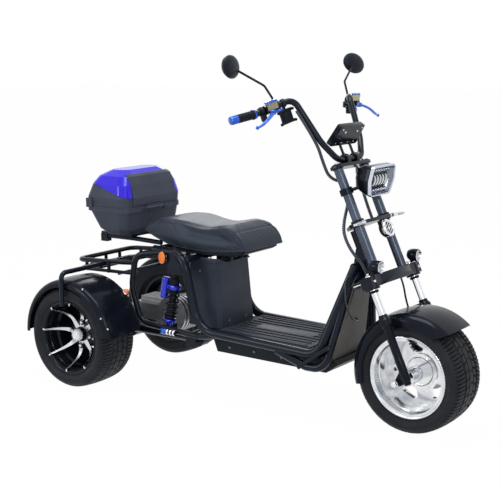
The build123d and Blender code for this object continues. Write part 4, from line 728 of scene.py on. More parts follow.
blue_paint = finish("blue_anodised", (0.015, 0.03, 0.62), (0.01, 0.018, 0.42), 0.22, 0.06, metal=0.45,
                    coat=0.6, grain=1500, bump=0.08)
black_rubber = finish("black_rubber", (0.008, 0.008, 0.01), (0.012, 0.012, 0.014), 0.6, 0.08,
                      bump=0.3, shine=0.2)
ridges = [(0, -2), (15, -1.5), (18.5, 3), (19, 8)]
for k in range(9):
    ridges += [(19, 12 + 8 * k), (17.6, 14 + 8 * k), (17.6, 16.5 + 8 * k), (19, 18.5 + 8 * k)]
ridges += [(19, 86), (16, 92), (6, 94), (0, 94)]
for name, side in (("left", 1), ("right", -1)):
    low, axis, length = shock_line(side)
    tank_low = low + axis * 142 + [-48, side * 2, 0]
    blue = [lathe(ridges, tank_low, axis, 32),
            lathe([(0, 34), (29, 34), (31.5, 37), (31.5, 44), (28, 48), (24, 49), (0, 49)], low, axis, 14),
            lathe([(0, 186), (26, 186), (31, 190), (31.5, 203), (27, 207), (0, 207)], low, axis, 14),
            lathe([(0, 14), (15, 14), (17, 17), (17, 30), (14, 34), (0, 34)], low, axis, 24)]
    damper = lathe([(0, 10), (9, 10), (9, 34), (19, 36), (19.5, 120), (17, 122), (17, 190), (22, 206), (23, 236),
                    (14, 240), (12, length - 12), (0, length - 12)], low, axis, 32)
    bridge = tube([low + axis * 222, low + axis * 223 + [-22, 0, 2], tank_low + axis * 84], [11, 8, 9], 16)
    eye_spots = (low, low + axis * length)
    eyes = [collar(9.6, 18, 14, spot, Y) for spot in eye_spots]
    bushes = [lathe([(0, -16), (7, -16), (8.6, -14), (8.6, 14), (7, 16), (0, 16)], spot, Y, 24) for spot in eye_spots]
    piece(f"shock_spring_{name}", spring(low, axis, 58, 186, 25.5, 4.6, 6.5), gloss_black, "frame", 40)
    piece(f"shock_tank_{name}", blue, blue_paint, "frame", 40, slot="shock_blue")
    piece(f"shock_body_{name}", [damper, bridge, *eyes], black_rubber, "frame", hides=f"shock_{name}")
    piece(f"shock_bushes_{name}", bushes, steel, "frame")
print("two coil-over shocks")

# %% [markdown]
# The fork's lower legs are turned bars, thicker at the top where the seal sits, with a
# flat lug in front of the foot that takes the axle. The bright upper legs slide into
# them. A lathe profile, radius against the place along the leg, gives each one.

# %% fork legs
LEG_U, LEG_Y = 76.0, 163.0
AXLE_U, AXLE_W = (float((front_axle_at - fork_foot) @ way) for way in (fork_u, fork_w))
slider_profile = [(0, -38), (11, -38), (14, -35), (14.5, -24), (17.4, -20), (17.4, 60), (16.8, 64), (16.8, 190),
                  (20, 198), (22, 203), (25.8, 206), (25.8, 227), (22, 231), (20, 236), (17, 240), (0, 240)]
lug = [(AXLE_U - 12, AXLE_W - 10), (AXLE_U + 8, AXLE_W - 16), (LEG_U - 6, -30), (LEG_U - 4, 18),
       (LEG_U - 14, 20), (AXLE_U - 2, AXLE_W + 14), (AXLE_U - 13, AXLE_W + 10)]
lower, upper, seals, feet = [], [], [], []
for s in SIDES:
    base = fork([LEG_U, LEG_Y * s, 0])
    lower.append(lathe(slider_profile, base, fork_w, 56))
    if s > 0:
        lower.append(lathe([(16, 66), (22.8, 68), (22.8, 176), (16, 178)], base, fork_w, 48))
    lower.append(prism(lug, -8, 8, ON_SIDE, fork([0, LEG_Y * s, 0])))
    upper.append(lathe([(0, 234), (14.5, 234), (14.5, 404), (0, 404)], base, fork_w, 48))
    seals += [lathe(profile, base, fork_w, 48) for profile in
              ([(14.4, 335), (18, 335), (19.5, 339), (19.5, 346), (14.4, 346)],
               [(14.4, 239), (17.5, 239), (18.3, 242), (17, 246), (14.4, 247)])]
    feet.append(lathe([(0, -43), (6, -43), (7.5, -41), (7.5, -36), (0, -36)], base, fork_w, 24))
piece("fork_lower_legs", lower, gloss_black, hides="fork_sliders")
piece("fork_upper_legs", upper, chrome, hides="fork_stanchions")
piece("fork_seals", seals, dark_plastic)
piece("fork_foot_bolts", feet, chrome)
print("fork legs, axle lug at", round(AXLE_U, 1), round(AXLE_W, 1))

# %% [markdown]
# Two flat plates join the upper tubes, and a broad arched one joins the legs. The plates
# are outlines with a softened rim, with clamp rings where the tubes go through and
# bright bolts that pinch them. A web fills the arch of the lower one, so that its
# underside is nearly straight.

# %% yoke plates and their bolts
TUBE_U, TUBE_Y, CLAMP_W = 77, 100, 874
plate_outline = [(102, -118), (104, -112), (104, 112), (102, 118), (60, 126), (52, 122), (-18, 36), (-28, 28),
                 (-28, -28), (-18, -36), (52, -122), (60, -126)]
plates = [prism(plate_outline, 603, 617, ON_FORK, fork_foot),
          pad(rounded(52, 250, 16), 14, 3, ON_FORK, fork([TUBE_U, 0, 841]))]
bolts = []
for s in SIDES:
    stand_at = fork([84, 36 * s, 0])
    plates += [collar(19.2, 26, 14, fork([TUBE_U, TUBE_Y * s, 612]), fork_w, 48),
               lathe([(0, 838), (20, 838), (23, 840), (23, 856), (21, 859), (0, 859)],
                     fork([TUBE_U, TUBE_Y * s, 0]), fork_w, 40),
               pad(rounded(36, 24, 6), 20, 2, ON_FORK, stand_at + 852 * fork_w),
               collar(12.8, 20.5, 12, fork([84, 36 * s, CLAMP_W]), Y, drop=1.5),
               tube([stand_at + 888 * fork_w, stand_at + 958 * fork_w], 5.5, 16, ref=fork_u)]
    bolts += [bolt(fork([TUBE_U, TUBE_Y * s, 859]), fork_w, 9, 6),
              *(cap_bolt(fork([u, 36 * s, 893]), fork_w, 5, 5) for u in (72, 96)),
              bolt(fork([104, 112 * s, 610]), fork_u, 6, 5),
              cap_bolt(fork([102.5, 176 * s, 378]), fork_u, 6, 5),
              bolt(fork([60, 152 * s, 401]), fork_w, 8, 6),
              bolt(fork([LEG_U, LEG_Y * s, 407]), fork_w, 11, 6)]
bolts.append(bolt(fork([0, 0, 625]), fork_w, 15, 9))
piece("upper_plates", plates, frame_paint, sharp=30, hides="upper_yoke bar_riser")
piece("yoke_bolts", bolts, chrome)
across = np.linspace(-119, 119, 41)
rear_u, foot_w = np.full(41, 84.0), np.full(41, 357.0)
front_u = 101 + 18 * (1 - (across / 194) ** 2)
arch_w = 360 + 18 * (1 - (across / 122) ** 2)
corners = np.stack([np.stack([u, across, w], axis=1) for u, w in
                    ((rear_u, foot_w), (front_u, foot_w), (front_u, arch_w), (rear_u, arch_w))], axis=1)
piece("lower_yoke_web", skin(fork(corners), wrap_cols=True, capped=True), frame_paint, sharp=30)
print("plates with", len(bolts), "bolts")

# %% [markdown]
# The headlamp is a six-sided black bowl with a chrome bezel. Behind its clear lens are
# five curved light bars in a row and a chrome tray with teeth above and below. Its
# outline is a rounded polygon; the bowl, the bezel and the lens are the same outline
# drawn in by different amounts at different depths.

# %% headlamp
LEAN, LAMP_SIZE, BRACKET_W = math.radians(10), np.array([94.0, 61.0]), 745
bar_centre = fork([84.0, 0, CLAMP_W])
lamp_at = bar_centre + [149.5, 0, -79.0]
lamp_ahead = np.array([math.cos(LEAN), 0, -math.sin(LEAN)])
lamp_up = np.array([math.sin(LEAN), 0, math.cos(LEAN)])


def round_polygon(corners, radius, steps=6):
    """Polygon with each corner replaced by an arc that touches both of its sides."""
    corners = np.asarray(corners, float)
    before, after = np.roll(corners, 1, axis=0) - corners, np.roll(corners, -1, axis=0) - corners
    before /= np.linalg.norm(before, axis=1, keepdims=True)
    after /= np.linalg.norm(after, axis=1, keepdims=True)
    half = np.arccos(np.clip((before * after).sum(axis=1), -1, 1)) / 2
    middle = before + after
    middle /= np.linalg.norm(middle, axis=1, keepdims=True)
    centre = corners + middle * (radius / np.sin(half))[:, None]
    start, end = (corners + way * (radius / np.tan(half))[:, None] - centre for way in (before, after))
    t = np.linspace(0, 1, steps)[None, :, None]
    arc = start[:, None] * (1 - t) + end[:, None] * t
    arc *= radius / np.linalg.norm(arc, axis=2, keepdims=True)
    return (centre[:, None] + arc).reshape(-1, 2)


lamp_outline = round_polygon([(-76, -61), (76, -61), (94, 0), (86, 61), (-86, 61), (-94, 0)], 16)


def lamp_skin(*rows, wrap=False):
    """Skin through copies of the lamp's outline, each drawn in by an inset at a depth behind
    its face, closed by flat ends or back on itself."""
    flats = [(lamp_outline * (1 - inset / LAMP_SIZE), depth) for inset, depth in rows]
    grid = np.stack([lamp_at + flat[:, :1] * Y + flat[:, 1:] * lamp_up - depth * lamp_ahead for flat, depth in flats])
    return skin(grid, wrap_cols=True, wrap_rows=wrap, capped=not wrap)


bowl = lamp_skin((50, 27.4), (8, 27.4), (6, 24), (5, 4), (1, 2), (0.5, 6), (2, 30), (12, 62), (20, 78), (28, 84),
                 (50, 86))
bracket = [prism(rounded(24, 24, 5), -6, 6, ON_SIDE, fork([132, 66 * s, BRACKET_W])) for s in SIDES]
bracket += [tube(fork([[152, 60 * s, BRACKET_W], [122, 66 * s, BRACKET_W], [98, 84 * s, BRACKET_W]]), 7, ref=fork_w)
            for s in SIDES]
bracket += [collar(19.2, 26.5, 13, fork([TUBE_U, TUBE_Y * s, BRACKET_W]), fork_w, drop=1.5) for s in SIDES]
bezel = lamp_skin((7.5, 26), (7.5, 2), (5.5, -2.5), (2, -3), (-0.5, 0), (-1, 9), (1.2, 11), (4, 11), (4, 26),
                  wrap=True)
tray = [lamp_skin((7.5, 5), (11, 14), (17, 23), (19, 25), (18, 27), (7, 20), wrap=True)]
for k in range(7):
    for row in (40, -40):
        spot = lamp_at + (k - 3) * 19 * Y + row * lamp_up - 12 * lamp_ahead
        tray.append(lathe([(0, 7), (4, 6), (7.5, 1), (8, -6), (0, -6)], spot, lamp_ahead, 16))
lamp_trim = finish("lamp_trim_chrome", (0.66, 0.7, 0.78), (0.5, 0.54, 0.62), 0.1, metal=1.0)
smoked = finish("smoked_chrome", (0.42, 0.45, 0.52), (0.3, 0.33, 0.4), 0.12, 0.06, metal=1.0)
piece("headlamp_bowl", bracket, gloss_black, hides="headlamp")
piece("headlamp_bezel", bezel, lamp_trim, sharp=25)
piece("headlamp_tray", tray, smoked, sharp=25)
piece("headlamp_inner", bowl, gloss_black)
print("headlamp bowl, bezel and tray with", len(tray) - 1, "teeth")

# %% light bars and lens
glow, tree, bar_shader = fresh("light_bar")
fade = place(tree, "ValToRGB", place(tree, "TexNoise", Vector=own_place(tree), Scale=120.0, Detail=2.0))
for stop, colour in zip(fade.color_ramp.elements, ((0.7, 0.73, 0.8, 1), (0.9, 0.92, 0.95, 1))):
    stop.color = colour
fill(bar_shader, Base_Color=fade, Emission_Color=fade, Roughness=0.35, Emission_Strength=0.35)
t = np.linspace(-1.15, 1.15, 15)
bars = []
for k in range(5):
    across = (-52 + 21 * k + 24 * (np.cos(t) - 0.6))[:, None]
    path = lamp_at + across * Y + (2 + 22 * np.sin(t))[:, None] * lamp_up - 8 * lamp_ahead
    bars.append(tube(path, 1.0 + 2.6 * np.cos(t * 1.2), 10, ref=lamp_ahead))
piece("headlamp_light_bars", bars, glow)
lens = lamp_skin((40, -3.4), (20, -2.6), (8.5, 0), (8, 3), (20, 1), (40, 0))
piece("headlamp_cover", lens, clear_lens, hides="headlamp_lens")
print("headlamp with", len(bars), "light bars")

# %% [markdown]
# Under it hang a round chrome horn with slots across its face, and a small round lamp at
# each end of the lower yoke. A slim chrome turn lamp reaches out on each side. All are
# turned shapes: a profile carried round an axis.

# %% horn, round lamps and turn lamps
horn_at = fork([127.0, 20, 560])
slat_way = unit(Y + 0.55 * fork_w)
slat_up = np.cross(fork_u, slat_way)
horn_ring = [(24, 3), (27, 6), (32, 6.5), (36, 3), (37.5, -3), (36.5, -8), (30, -12), (24, -6)]
horn = [lathe(horn_ring, horn_at, fork_u, 64),
        lathe([(0, 6), (3.5, 5.4), (4.5, 2), (0, 2)], horn_at, fork_u, 24)]
horn += [tube(horn_at + np.array([[-w], [w]]) * slat_way + slat_up * h + fork_u * 2, 2.3, 10, ref=slat_up)
         for h, w in ((-15, 20), (-5, 25), (5, 25), (15, 20))]
piece("horn_face", horn, chrome)
cup = lathe([(0, -1), (27, -1), (34, -8), (36, -18), (30, -26), (14, -31), (0, -31)], horn_at, fork_u, 48)
piece("horn_body", [cup, prism(rounded(6, 24, 2), -14, 14, ON_SIDE, fork([99, 20, 587]))], gloss_black, hides="horn")

bowls, lamp_rings, lamp_glass, turn_bodies, turn_strips = [], [], [], [], []
for s in SIDES:
    at = fork([134.0, 152 * s, 420])
    bowls += [lathe([(0, -46), (12, -46), (18, -43), (23, -35), (25, -22), (25.6, -9), (25.4, -2), (25, 3),
                     (23.4, 3.4), (22.8, 0), (21, -10), (0, -12)], at, X, 48),
              tube(fork([[98, 152 * s, 402], [98, 152 * s, 430], [104, 152 * s, 440]]), [7, 7, 6], 14),
              prism(rounded(20, 12, 4), -9, 9, ON_SIDE, fork([99, 152 * s, 424]))]
    lamp_rings += [lathe([(22.8, 0.5), (24.2, 3.6), (22.4, 5), (20.6, 3.2), (19, -3), (12, -9), (0, -11),
                          (0, -11.5), (20, -8)], at, X, 48, closed=False),
                   lathe([(0, -1), (4, -2), (5.5, -5), (5, -10), (0, -10)], at, X, 20)]
    dome = [(0, 7.6), (8, 6.9), (15, 5), (21, 2), (20.4, 1), (14, 3.6), (8, 5.3), (0, 6)]
    lamp_glass.append(lathe(dome, at, X, 48))
    root = fork([112.7, 112 * s, 608])
    line = root + np.array([6, 84 * s, -1.6]) * np.linspace(0, 1, 8)[:, None]
    turn_bodies += [tube(line, [7.4, 7.5, 7.5, 7.5, 7.5, 7.4, 6.8, 4.5], 20, ref=Z),
                    prism(hexagon(8.5), -2, 12, (fork_u, fork_w, s * Y), root)]
    turn_strips.append(tube(line[2:7] + [4.5, 0, 0.5], [3.2, 4.6, 4.8, 4.6, 3], 16, ref=Z))
strip_glass = finish("turn_lamp_glass", (0.75, 0.72, 0.66), (0.62, 0.6, 0.56), 0.12, 0.04, coat=0.8)
fill(shader_of(strip_glass), Transmission_Weight=0.35)
piece("round_lamp_bowls", bowls, gloss_black, hides="fog_lamps")
piece("round_lamp_rings", lamp_rings, chrome)
piece("round_lamp_glass", lamp_glass, clear_lens)
piece("turn_lamp_bodies", turn_bodies, chrome, hides="turn_signals")
piece("turn_lamp_strips", turn_strips, strip_glass)
print("horn, two round lamps and two turn lamps")

# %% [markdown]
# Each hand has a soft ribbed grip with a blue end cap, a blue lever in a clamp with its
# oil box, and a switch box. They are placed in the handlebar's own frame: along the bar,
# towards the rider, and up. The left side is made first, and mirrored for the right.

# %% the handlebar's own frame
def bar_point(forward, side, up):
    """A place measured from the middle of the handlebar."""
    return bar_centre + np.array([forward, side, up])


BAR_R, LEVER_T, POD_T, HOLDER_T = 12.7, 0.74, 0.875, 0.29
bar_end = bar_point(-256.5, 447.0, 164.0)
bar_pull = bar_point(-212.5, 335.0, 187.0)
bar_bend = bar_point(-134.5, 206.0, 240.0)
grip_way, run_way = unit(bar_end - bar_pull), unit(bar_pull - bar_bend)
run_back = unit(np.cross(Z, run_way))
run_up = np.cross(run_way, run_back)


def on_run(t, x=0.0, y=0.0, z=0.0):
    """A place on the handlebar's run: a share of its length, then along, back and up."""
    return bar_bend + (bar_pull - bar_bend) * t + x * run_way + y * run_back + z * run_up


def clamp(t0, t1, radius):
    """Ring round the bar between two shares of its run, with softened edges."""
    half = (t1 - t0) / 2 * np.linalg.norm(bar_pull - bar_bend)
    return collar(BAR_R, radius, half, on_run((t0 + t1) / 2), run_way, drop=1.5, ease=1.5)


def both_hands(name, shapes, material, **others):
    """A piece from the left hand's shapes and their mirror images."""
    left = join(*shapes)
    return piece(name, [left, mirrored(left)], material, **others)


print("bar run", round(float(np.linalg.norm(bar_pull - bar_bend))), "mm")

# %% hand controls
ribs = [(BAR_R, 17), (15, 17), (19, 18), (19.5, 22), (17, 24)]
for at in np.arange(26, 86, 4.4):
    ribs += [(16.9, at), (15.8, at + 1.0), (15.8, at + 2.2), (16.9, at + 3.2)]
ribs += [(17, 91), (15, 92), (BAR_R, 92)]
both_hands("hand_grips", [lathe(ribs, bar_pull, grip_way, 40)], dark_plastic, sharp=40, hides="grips")
cap_rings = [(0, 124), (12, 124), (15.5, 122.5), (16.8, 119)]
for at in np.arange(115, 92, -4.4):
    cap_rings += [(17.1, at), (16.1, at - 1.0), (16.1, at - 2.0), (17.1, at - 3.0)]
lever_root = on_run(LEVER_T)
pivot = lever_root + [48, 22, -8]
blade_line = arc_through([pivot + [-8, -8, 2], lever_root + [62, 42, -14], lever_root + [66, 84, -26],
                          bar_point(-127.5, 400, 150), bar_point(-131.5, 446, 143)], 26)
blues = [
    lathe(cap_rings + [(16.5, 91), (0, 91)], bar_pull, grip_way, 40),
    lathe([(BAR_R, 8), (17.5, 8), (18.5, 9.5), (18.5, 15), (17, 17), (BAR_R, 17)], bar_pull, grip_way, 40),
    tube(blade_line, np.r_[np.linspace(9, 7.5, 22), 7, 6.6, 6, 3.6], 16, ref=Z, flat=0.62),
    lathe([(0, -7.5), (5, -5.6), (7.4, 0), (5, 5.6), (0, 7.5)], bar_point(-131.5, 444, 143), (0.2, 1, -0.1), 20),
    lathe([(0, -9), (10, -9), (11.5, -7), (11.5, 7), (10, 9), (0, 9)], pivot + [-6, -6, 1], Z, 28),
    pad(rounded(46, 36, 7), 7, 2.5, (run_way, run_back, unit(run_up + 0.12 * run_back)),
        on_run(LEVER_T, -14, -30, 27)),
    lathe([(0, 0), (5.5, 0), (5.5, 22), (3.2, 30), (0, 30)], lever_root + [44, 0, -6], -run_way, 20),
]
azure = finish("azure_anodised", (0.012, 0.13, 0.72), (0.008, 0.08, 0.5), 0.2, 0.06, metal=0.5, coat=0.6,
               grain=1500, bump=0.08)
oil = finish("oil_box", (0.42, 0.38, 0.2), (0.3, 0.27, 0.15), 0.22, 0.06, coat=0.6)
key_paint = finish("switch_keys", (0.3, 0.31, 0.33), (0.22, 0.23, 0.25), 0.4, 0.06, grain=800)
both_hands("lever_blades", blues, azure, hides="brake_levers", slot="blue_anodised")
ON_RUN, ON_RUN_BACK = (run_way, run_back, run_up), (run_way, run_up, run_back)
perch = [clamp(0.68, 0.80, 19), tube([lever_root, lever_root + [24, 10, -3], pivot + [-8, -8, 2]], [11, 10, 9], 18),
         prism(rounded(40, 24, 6), -12, 10, ON_RUN, on_run(LEVER_T, -8, -22, 8))]
both_hands("lever_clamps", perch, gloss_black)
both_hands("oil_boxes", [prism(rounded(42, 32, 6), -20, 8, ON_RUN, on_run(LEVER_T, -14, -30, 20))], oil)
pod = [clamp(0.83, 0.92, 19), pad(rounded(18, 34, 6), 30, 4, (run_way, run_back, -run_up), on_run(POD_T, 0, -4, -10)),
       pad(rounded(20, 26, 5), 12, 3, ON_RUN_BACK, on_run(POD_T, 0, 12, 0))]
both_hands("switch_boxes", pod, dark_plastic, hides="switch_pods")
keys = [pad(rounded(wide, 5.5, 1.6), 4, 1.2, ON_RUN_BACK, on_run(POD_T, 0, 23, high))
        for high, wide in ((7, 7), (-1, 9), (-9, 6))]
both_hands("switch_keys", keys, key_paint)
print("grips, levers, oil boxes and", 2 * len(keys), "keys")

# %% [markdown]
# The mirrors keep their turned heads, and get a glass that is nearly flat, set in a
# raised rim on the side that faces the rider. The accessory holder has a back plate and
# four claws with soft tips. The panel carries a round dial in a black frame.

# %% mirrors and holder
MIRROR_TILT, MIRROR_TURN = math.radians(-16), math.radians(-12)
a = np.linspace(0, 2 * np.pi, 56, endpoint=False)
oval = np.stack([51 * np.cos(a), 34 * np.sin(a)], axis=1)
glasses, rims = [], []
for s in SIDES:
    centre = bar_point(-255.5, 442.0 * s, 366.0)
    swing = np.array(Matrix.Rotation(MIRROR_TILT, 3, "X") @ Matrix.Rotation(MIRROR_TURN * s, 3, "Z"))
    back, wide, high = swing.T * [[-1], [1], [1]]
    glasses.append(pad(oval, 3.6, 1.4, (wide, high, back), centre + 10.0 * back))
    ring = np.stack([centre + (10 + k) * back + oval[:, :1] * g * wide + oval[:, 1:] * g * high
                     for k, g in ((0, 1.08), (3.4, 1.06), (4.6, 1.03), (4.4, 1.0), (0, 0.97))])
    rims.append(skin(ring, wrap_rows=True, wrap_cols=True))
mirror_glass = finish("mirror_glass", (0.75, 0.78, 0.8), (0.68, 0.71, 0.74), 0.04, 0.02, metal=1.0)
piece("mirror_glasses", glasses, mirror_glass)
piece("mirror_rims", rims, dark_plastic)

hold = [clamp(0.24, 0.34, 17), prism(rounded(12, 12, 3), -20, 6, ON_RUN, on_run(HOLDER_T, 0, 6, -4)),
        pad(rounded(50, 58, 8), 8, 2, ON_RUN_BACK, on_run(HOLDER_T, 0, 2, -54)),
        pad(rounded(30, 36, 6), 5, 2, (run_way, run_up, -run_back), on_run(HOLDER_T, 0, 2, -54))]
for x in (-29, 29):
    for z in (-32, -78):
        claw = [on_run(HOLDER_T, x * reach, y, z) for reach, y in ((0.7, 6), (1, 6), (1.15, -2), (1, -10))]
        hold.append(tube(arc_through(claw, 9), [6] * 7 + [5, 3.4], ref=run_up))
piece("accessory_holder", mirrored(join(*hold)), dark_plastic, hides="phone_holder")
print("two mirrors and a holder with four claws")

# %% instrument panel
PANEL_LEAN, PANEL_SIZE = math.radians(57), np.array([46.0, 93.0])
panel_at = bar_point(-7.5, 0, 90)
panel_in = np.array([math.cos(PANEL_LEAN), 0, math.sin(PANEL_LEAN)])
panel_out = np.array([-math.sin(PANEL_LEAN), 0, math.cos(PANEL_LEAN)])
trapezium = round_polygon([(-46, -98), (46, -88), (46, 88), (-46, 98)], 7)
window = 1 - 6 / PANEL_SIZE
case = outline_rows(trapezium, (panel_in, Y, panel_out), panel_at,
                    ((0.9, 0), (0.99, 0), (1, 1.5), (1, 22), (0.985, 24), (window, 24), (window * 0.995, 20)))
piece("panel_case", case, gloss_black, sharp=30, hides="instrument_panel")
dial_at = panel_at + 20.2 * panel_out
bright = [lathe([(30, -0.5), (30, 1.6), (32, 2.6), (34, 1.6), (34, -0.5)], dial_at, panel_out, 64)]
for s in SIDES:
    bright += [cap_bolt(panel_at + 20 * panel_in + 44 * s * Y, -panel_out, 5, 4),
               cap_bolt(panel_at + 34 * panel_in + 70 * s * Y, -panel_out, 4, 3)]
bright += [lathe([(0, 0.9), (3.2, 0.9), (3.6, 0.2), (3.6, -1), (0, -1)],
                 panel_at - 34 * panel_in + (k - 1.5) * 44 * Y, -panel_out, 16) for k in range(4)]
piece("panel_bolts", bright, chrome)
dial = lathe([(0, 0.6), (29.5, 0.4), (30, -0.6), (0, -0.6)], dial_at, panel_out, 64)
hands = [math.cos(w) * panel_in + math.sin(w) * Y for w in 0.6 + 0.38 * np.arange(14)]
marks = [tube([dial_at + 0.8 * panel_out + r * way for r in (22, 26)], 0.5, 6, ref=panel_out) for way in hands]
face = finish("dial_face", (0.02, 0.022, 0.026), (0.014, 0.015, 0.018), 0.18, 0.04, coat=0.6)
mark_paint = finish("dial_marks", (0.75, 0.77, 0.8), (0.65, 0.67, 0.7), 0.4)
piece("dial_glass", dial, face)
piece("dial_marks", marks, mark_paint)
print("panel with", len(marks), "dial marks")

# %% [markdown]
# The wires from each hand are bound in ribbed black tube. Its centreline is a NURBS curve
# through the same route as the solid one, and a mesh tube follows the points that the
# curve gives. The ribs are the radius rising and falling with the distance along it.

# %% bound wires and brake cables
RIB_STEP, PLAIN_STEP, RIB_DEPTH = 1.9, 4.0, 1.3


def coords(elements, what="co"):
    """A vector of each point of a mesh, as the rows of one array."""
    flat = np.empty(len(elements) * 3)
    elements.foreach_get(what, flat)
    return flat.reshape(-1, 3)


def route_line(name, points):
    """Points, in millimetres, on the NURBS curve that has the route's points as its controls."""
    data = bpy.data.curves.new(name, "CURVE")
    data.dimensions = "3D"
    line = data.splines.new("NURBS")
    line.points.add(len(points) - 1)
    line.points.foreach_set("co", np.c_[np.asarray(points, float) / 1000, np.ones(len(points))].ravel())
    line.order_u, line.use_endpoint_u, line.resolution_u = 3, True, 24
    holder = bpy.data.objects.new(name, data)
    mesh = bpy.data.meshes.new_from_object(holder)
    bpy.data.objects.remove(holder)
    return coords(mesh.vertices) * 1000


def run_along(line):
    """The distance travelled along a line at each of its points."""
    return np.concatenate([[0], np.cumsum(np.linalg.norm(np.diff(line, axis=0), axis=1))])


def corded(name, points, wide, hides="", body="steering", ref=Y, ribbed=False):
    """Tube of the width along a route."""
    curve = route_line(name, points)
    run = run_along(curve)
    at = np.linspace(0, run[-1], int(run[-1] / (RIB_STEP if ribbed else PLAIN_STEP)) + 1)
    line = np.stack([np.interp(at, run, curve[:, k]) for k in range(3)], axis=1)
    radius = wide / 2 - RIB_DEPTH * (ribbed & (np.arange(len(line)) % 4 > 1))
    thing = piece(name, tube(line, radius, 14, ref=ref), loom, body, 60, hides)
    print(name, "is", round(run[-1]), "mm long")


def beside_bar(t):
    """Place beside the rise of the handlebar, a bound tube's half width and the bar's away from it."""
    rise = bar_point(-41.5, 146.0, 70.0)
    run = unit(rise - bar_bend)
    out = np.array([0, 1, -0.5])
    return bar_bend + (rise - bar_bend) * t + 19.7 * unit(out - run * (out @ run))


loom = finish("bound_wire", (0.012, 0.012, 0.014), (0.02, 0.02, 0.024), 0.32, 0.08, bump=0.2, shine=0.8)
shared = np.array([beside_bar(0.22), beside_bar(0.92), bar_point(-42, 134, -5), fork([26, 104, 822])])
short_run = fork([(62, 60, 786), (56, 46, 716), (56, 46, 617.5)])
long_run = fork([(60, 66, 786), (50, 60, 716), (14, 96, 640), (6, 116, 590), (14, 118, 520), (34, 100, 450),
                 (34, 100, 401.2)])
hose_route = fork([(50, 106, 359.2), (50, 106, 326), (20, 132, 268), (10, 142, 190), (22, 142, 125),
                   (22, 142, 83.2)])
cable_route = [(507.6, -96.5, 600), (507.6, -120.6, 594), (513.6, -130.6, 550), (517.6, -132, 500),
               (521.6, -104, 440), (518.6, -60, 414), (512.6, -18, 409), (491.6, -6, 410)]
corded("wire_loom_left", np.r_[shared, short_run], 14, "wire_looms", ribbed=True)
corded("wire_loom_right", np.r_[shared, long_run] * [1, -1, 1], 14, ribbed=True)
corded("brake_line", hose_route, 8, "brake_hose")
corded("cover_cable", cable_route, 6, "brake_cable", "frame", X)

# %% [markdown]
# The seat is foam under a sewn cover. Its shape starts as a copy of the plain solid, cut
# into small squares by a voxel remesh and drawn in a little. A short cloth simulation
# then blows it up like a balloon, with the underside held still where it rests on its
# board, and how far a point may move is capped. Seams are pressed in afterwards.

# %% seat foam and cover
VOXEL, DRAWN_IN, UNDERSIDE = 0.006, 0.0045, -0.45
PRESSURE, CLOTH_CAP, CLOTH_FRAMES = 4.0, 0.008, 20


def baked(thing):
    """The object's mesh with its modifiers applied and taken off."""
    held = thing.evaluated_get(bpy.context.evaluated_depsgraph_get())
    mesh = bpy.data.meshes.new_from_object(held)
    thing.modifiers.clear()
    thing.data = mesh
    return mesh


def put_points(mesh, places):
    """Writes the places back into the mesh."""
    mesh.vertices.foreach_set("co", np.ascontiguousarray(places).ravel())
    mesh.update()


seat_pad = stand("seat_pad", clean(nodes["seat_cushion"].data, bpy.data.meshes.new("seat_pad")))
remesh = seat_pad.modifiers.new("squares", "REMESH")
remesh.mode, remesh.voxel_size = "VOXEL", VOXEL
mesh = baked(seat_pad)
out = coords(mesh.vertex_normals, "vector")
under = out[:, 2] < UNDERSIDE
start = coords(mesh.vertices) - DRAWN_IN * out * ~under[:, None]
put_points(mesh, start)
print("seat squares", len(mesh.polygons), "held", int(under.sum()))
group = seat_pad.vertex_groups.new(name="held")
group.add(np.nonzero(under)[0].tolist(), 1.0, "REPLACE")
cloth = seat_pad.modifiers.new("cover", "CLOTH").settings
cloth.use_pressure, cloth.uniform_pressure_force = True, PRESSURE
cloth.effector_weights.gravity = 0.0
cloth.vertex_group_mass, cloth.quality = "held", 4
for number in range(1, CLOTH_FRAMES + 1):
    bpy.context.scene.frame_set(number)
mesh = baked(seat_pad)
bpy.context.scene.frame_set(1)
step = coords(mesh.vertices) - start
length = np.linalg.norm(step, axis=1, keepdims=True)
put_points(mesh, start + step * np.minimum(1, CLOTH_CAP / np.maximum(length, 1e-9)))
print("cover moved by up to", round(float(length.max()) * 1000, 1), "mm before the cap")

# %% [markdown]
# The cover is sewn from a top and two side panels. A seam is a narrow trough: each point
# near the seam's line moves in along its own outward direction, by a depth that falls
# off with distance as a bell curve. Low waves, sums of sines, keep the leather from lying
# dead flat. A small row of stitches then lies beside the trough.

# %% seams
finer = seat_pad.modifiers.new("finer", "SUBSURF")
finer.levels = finer.render_levels = 1
mesh = baked(seat_pad)
mm, out = coords(mesh.vertices) * 1000, coords(mesh.vertex_normals, "vector")
rear_seam = arc_through([(-392, 768), (-352, 742), (-352, 706), (-338, 664), (-272, 618)], 60)
front_seam = arc_through([(-34, 770), (-24, 735), (-22, 690), (-30, 620)], 40)
rim_seam = arc_through([(-500, 686), (-400, 664), (-250, 646), (-100, 648), (10, 662)], 60)


def seam(line, depth, width):
    """Depth of a seam's trough at each point: a bell curve of the distance in the side view."""
    flat, best = mm[:, [0, 2]], np.full(len(mm), 1e9)
    for a, d in zip(line[:-1], np.diff(line, axis=0)):
        t = np.clip(((flat - a) @ d) / (d @ d), 0, 1)
        best = np.minimum(best, np.linalg.norm(flat - a - t[:, None] * d, axis=1))
    return depth * np.exp(-(best / width) ** 2)


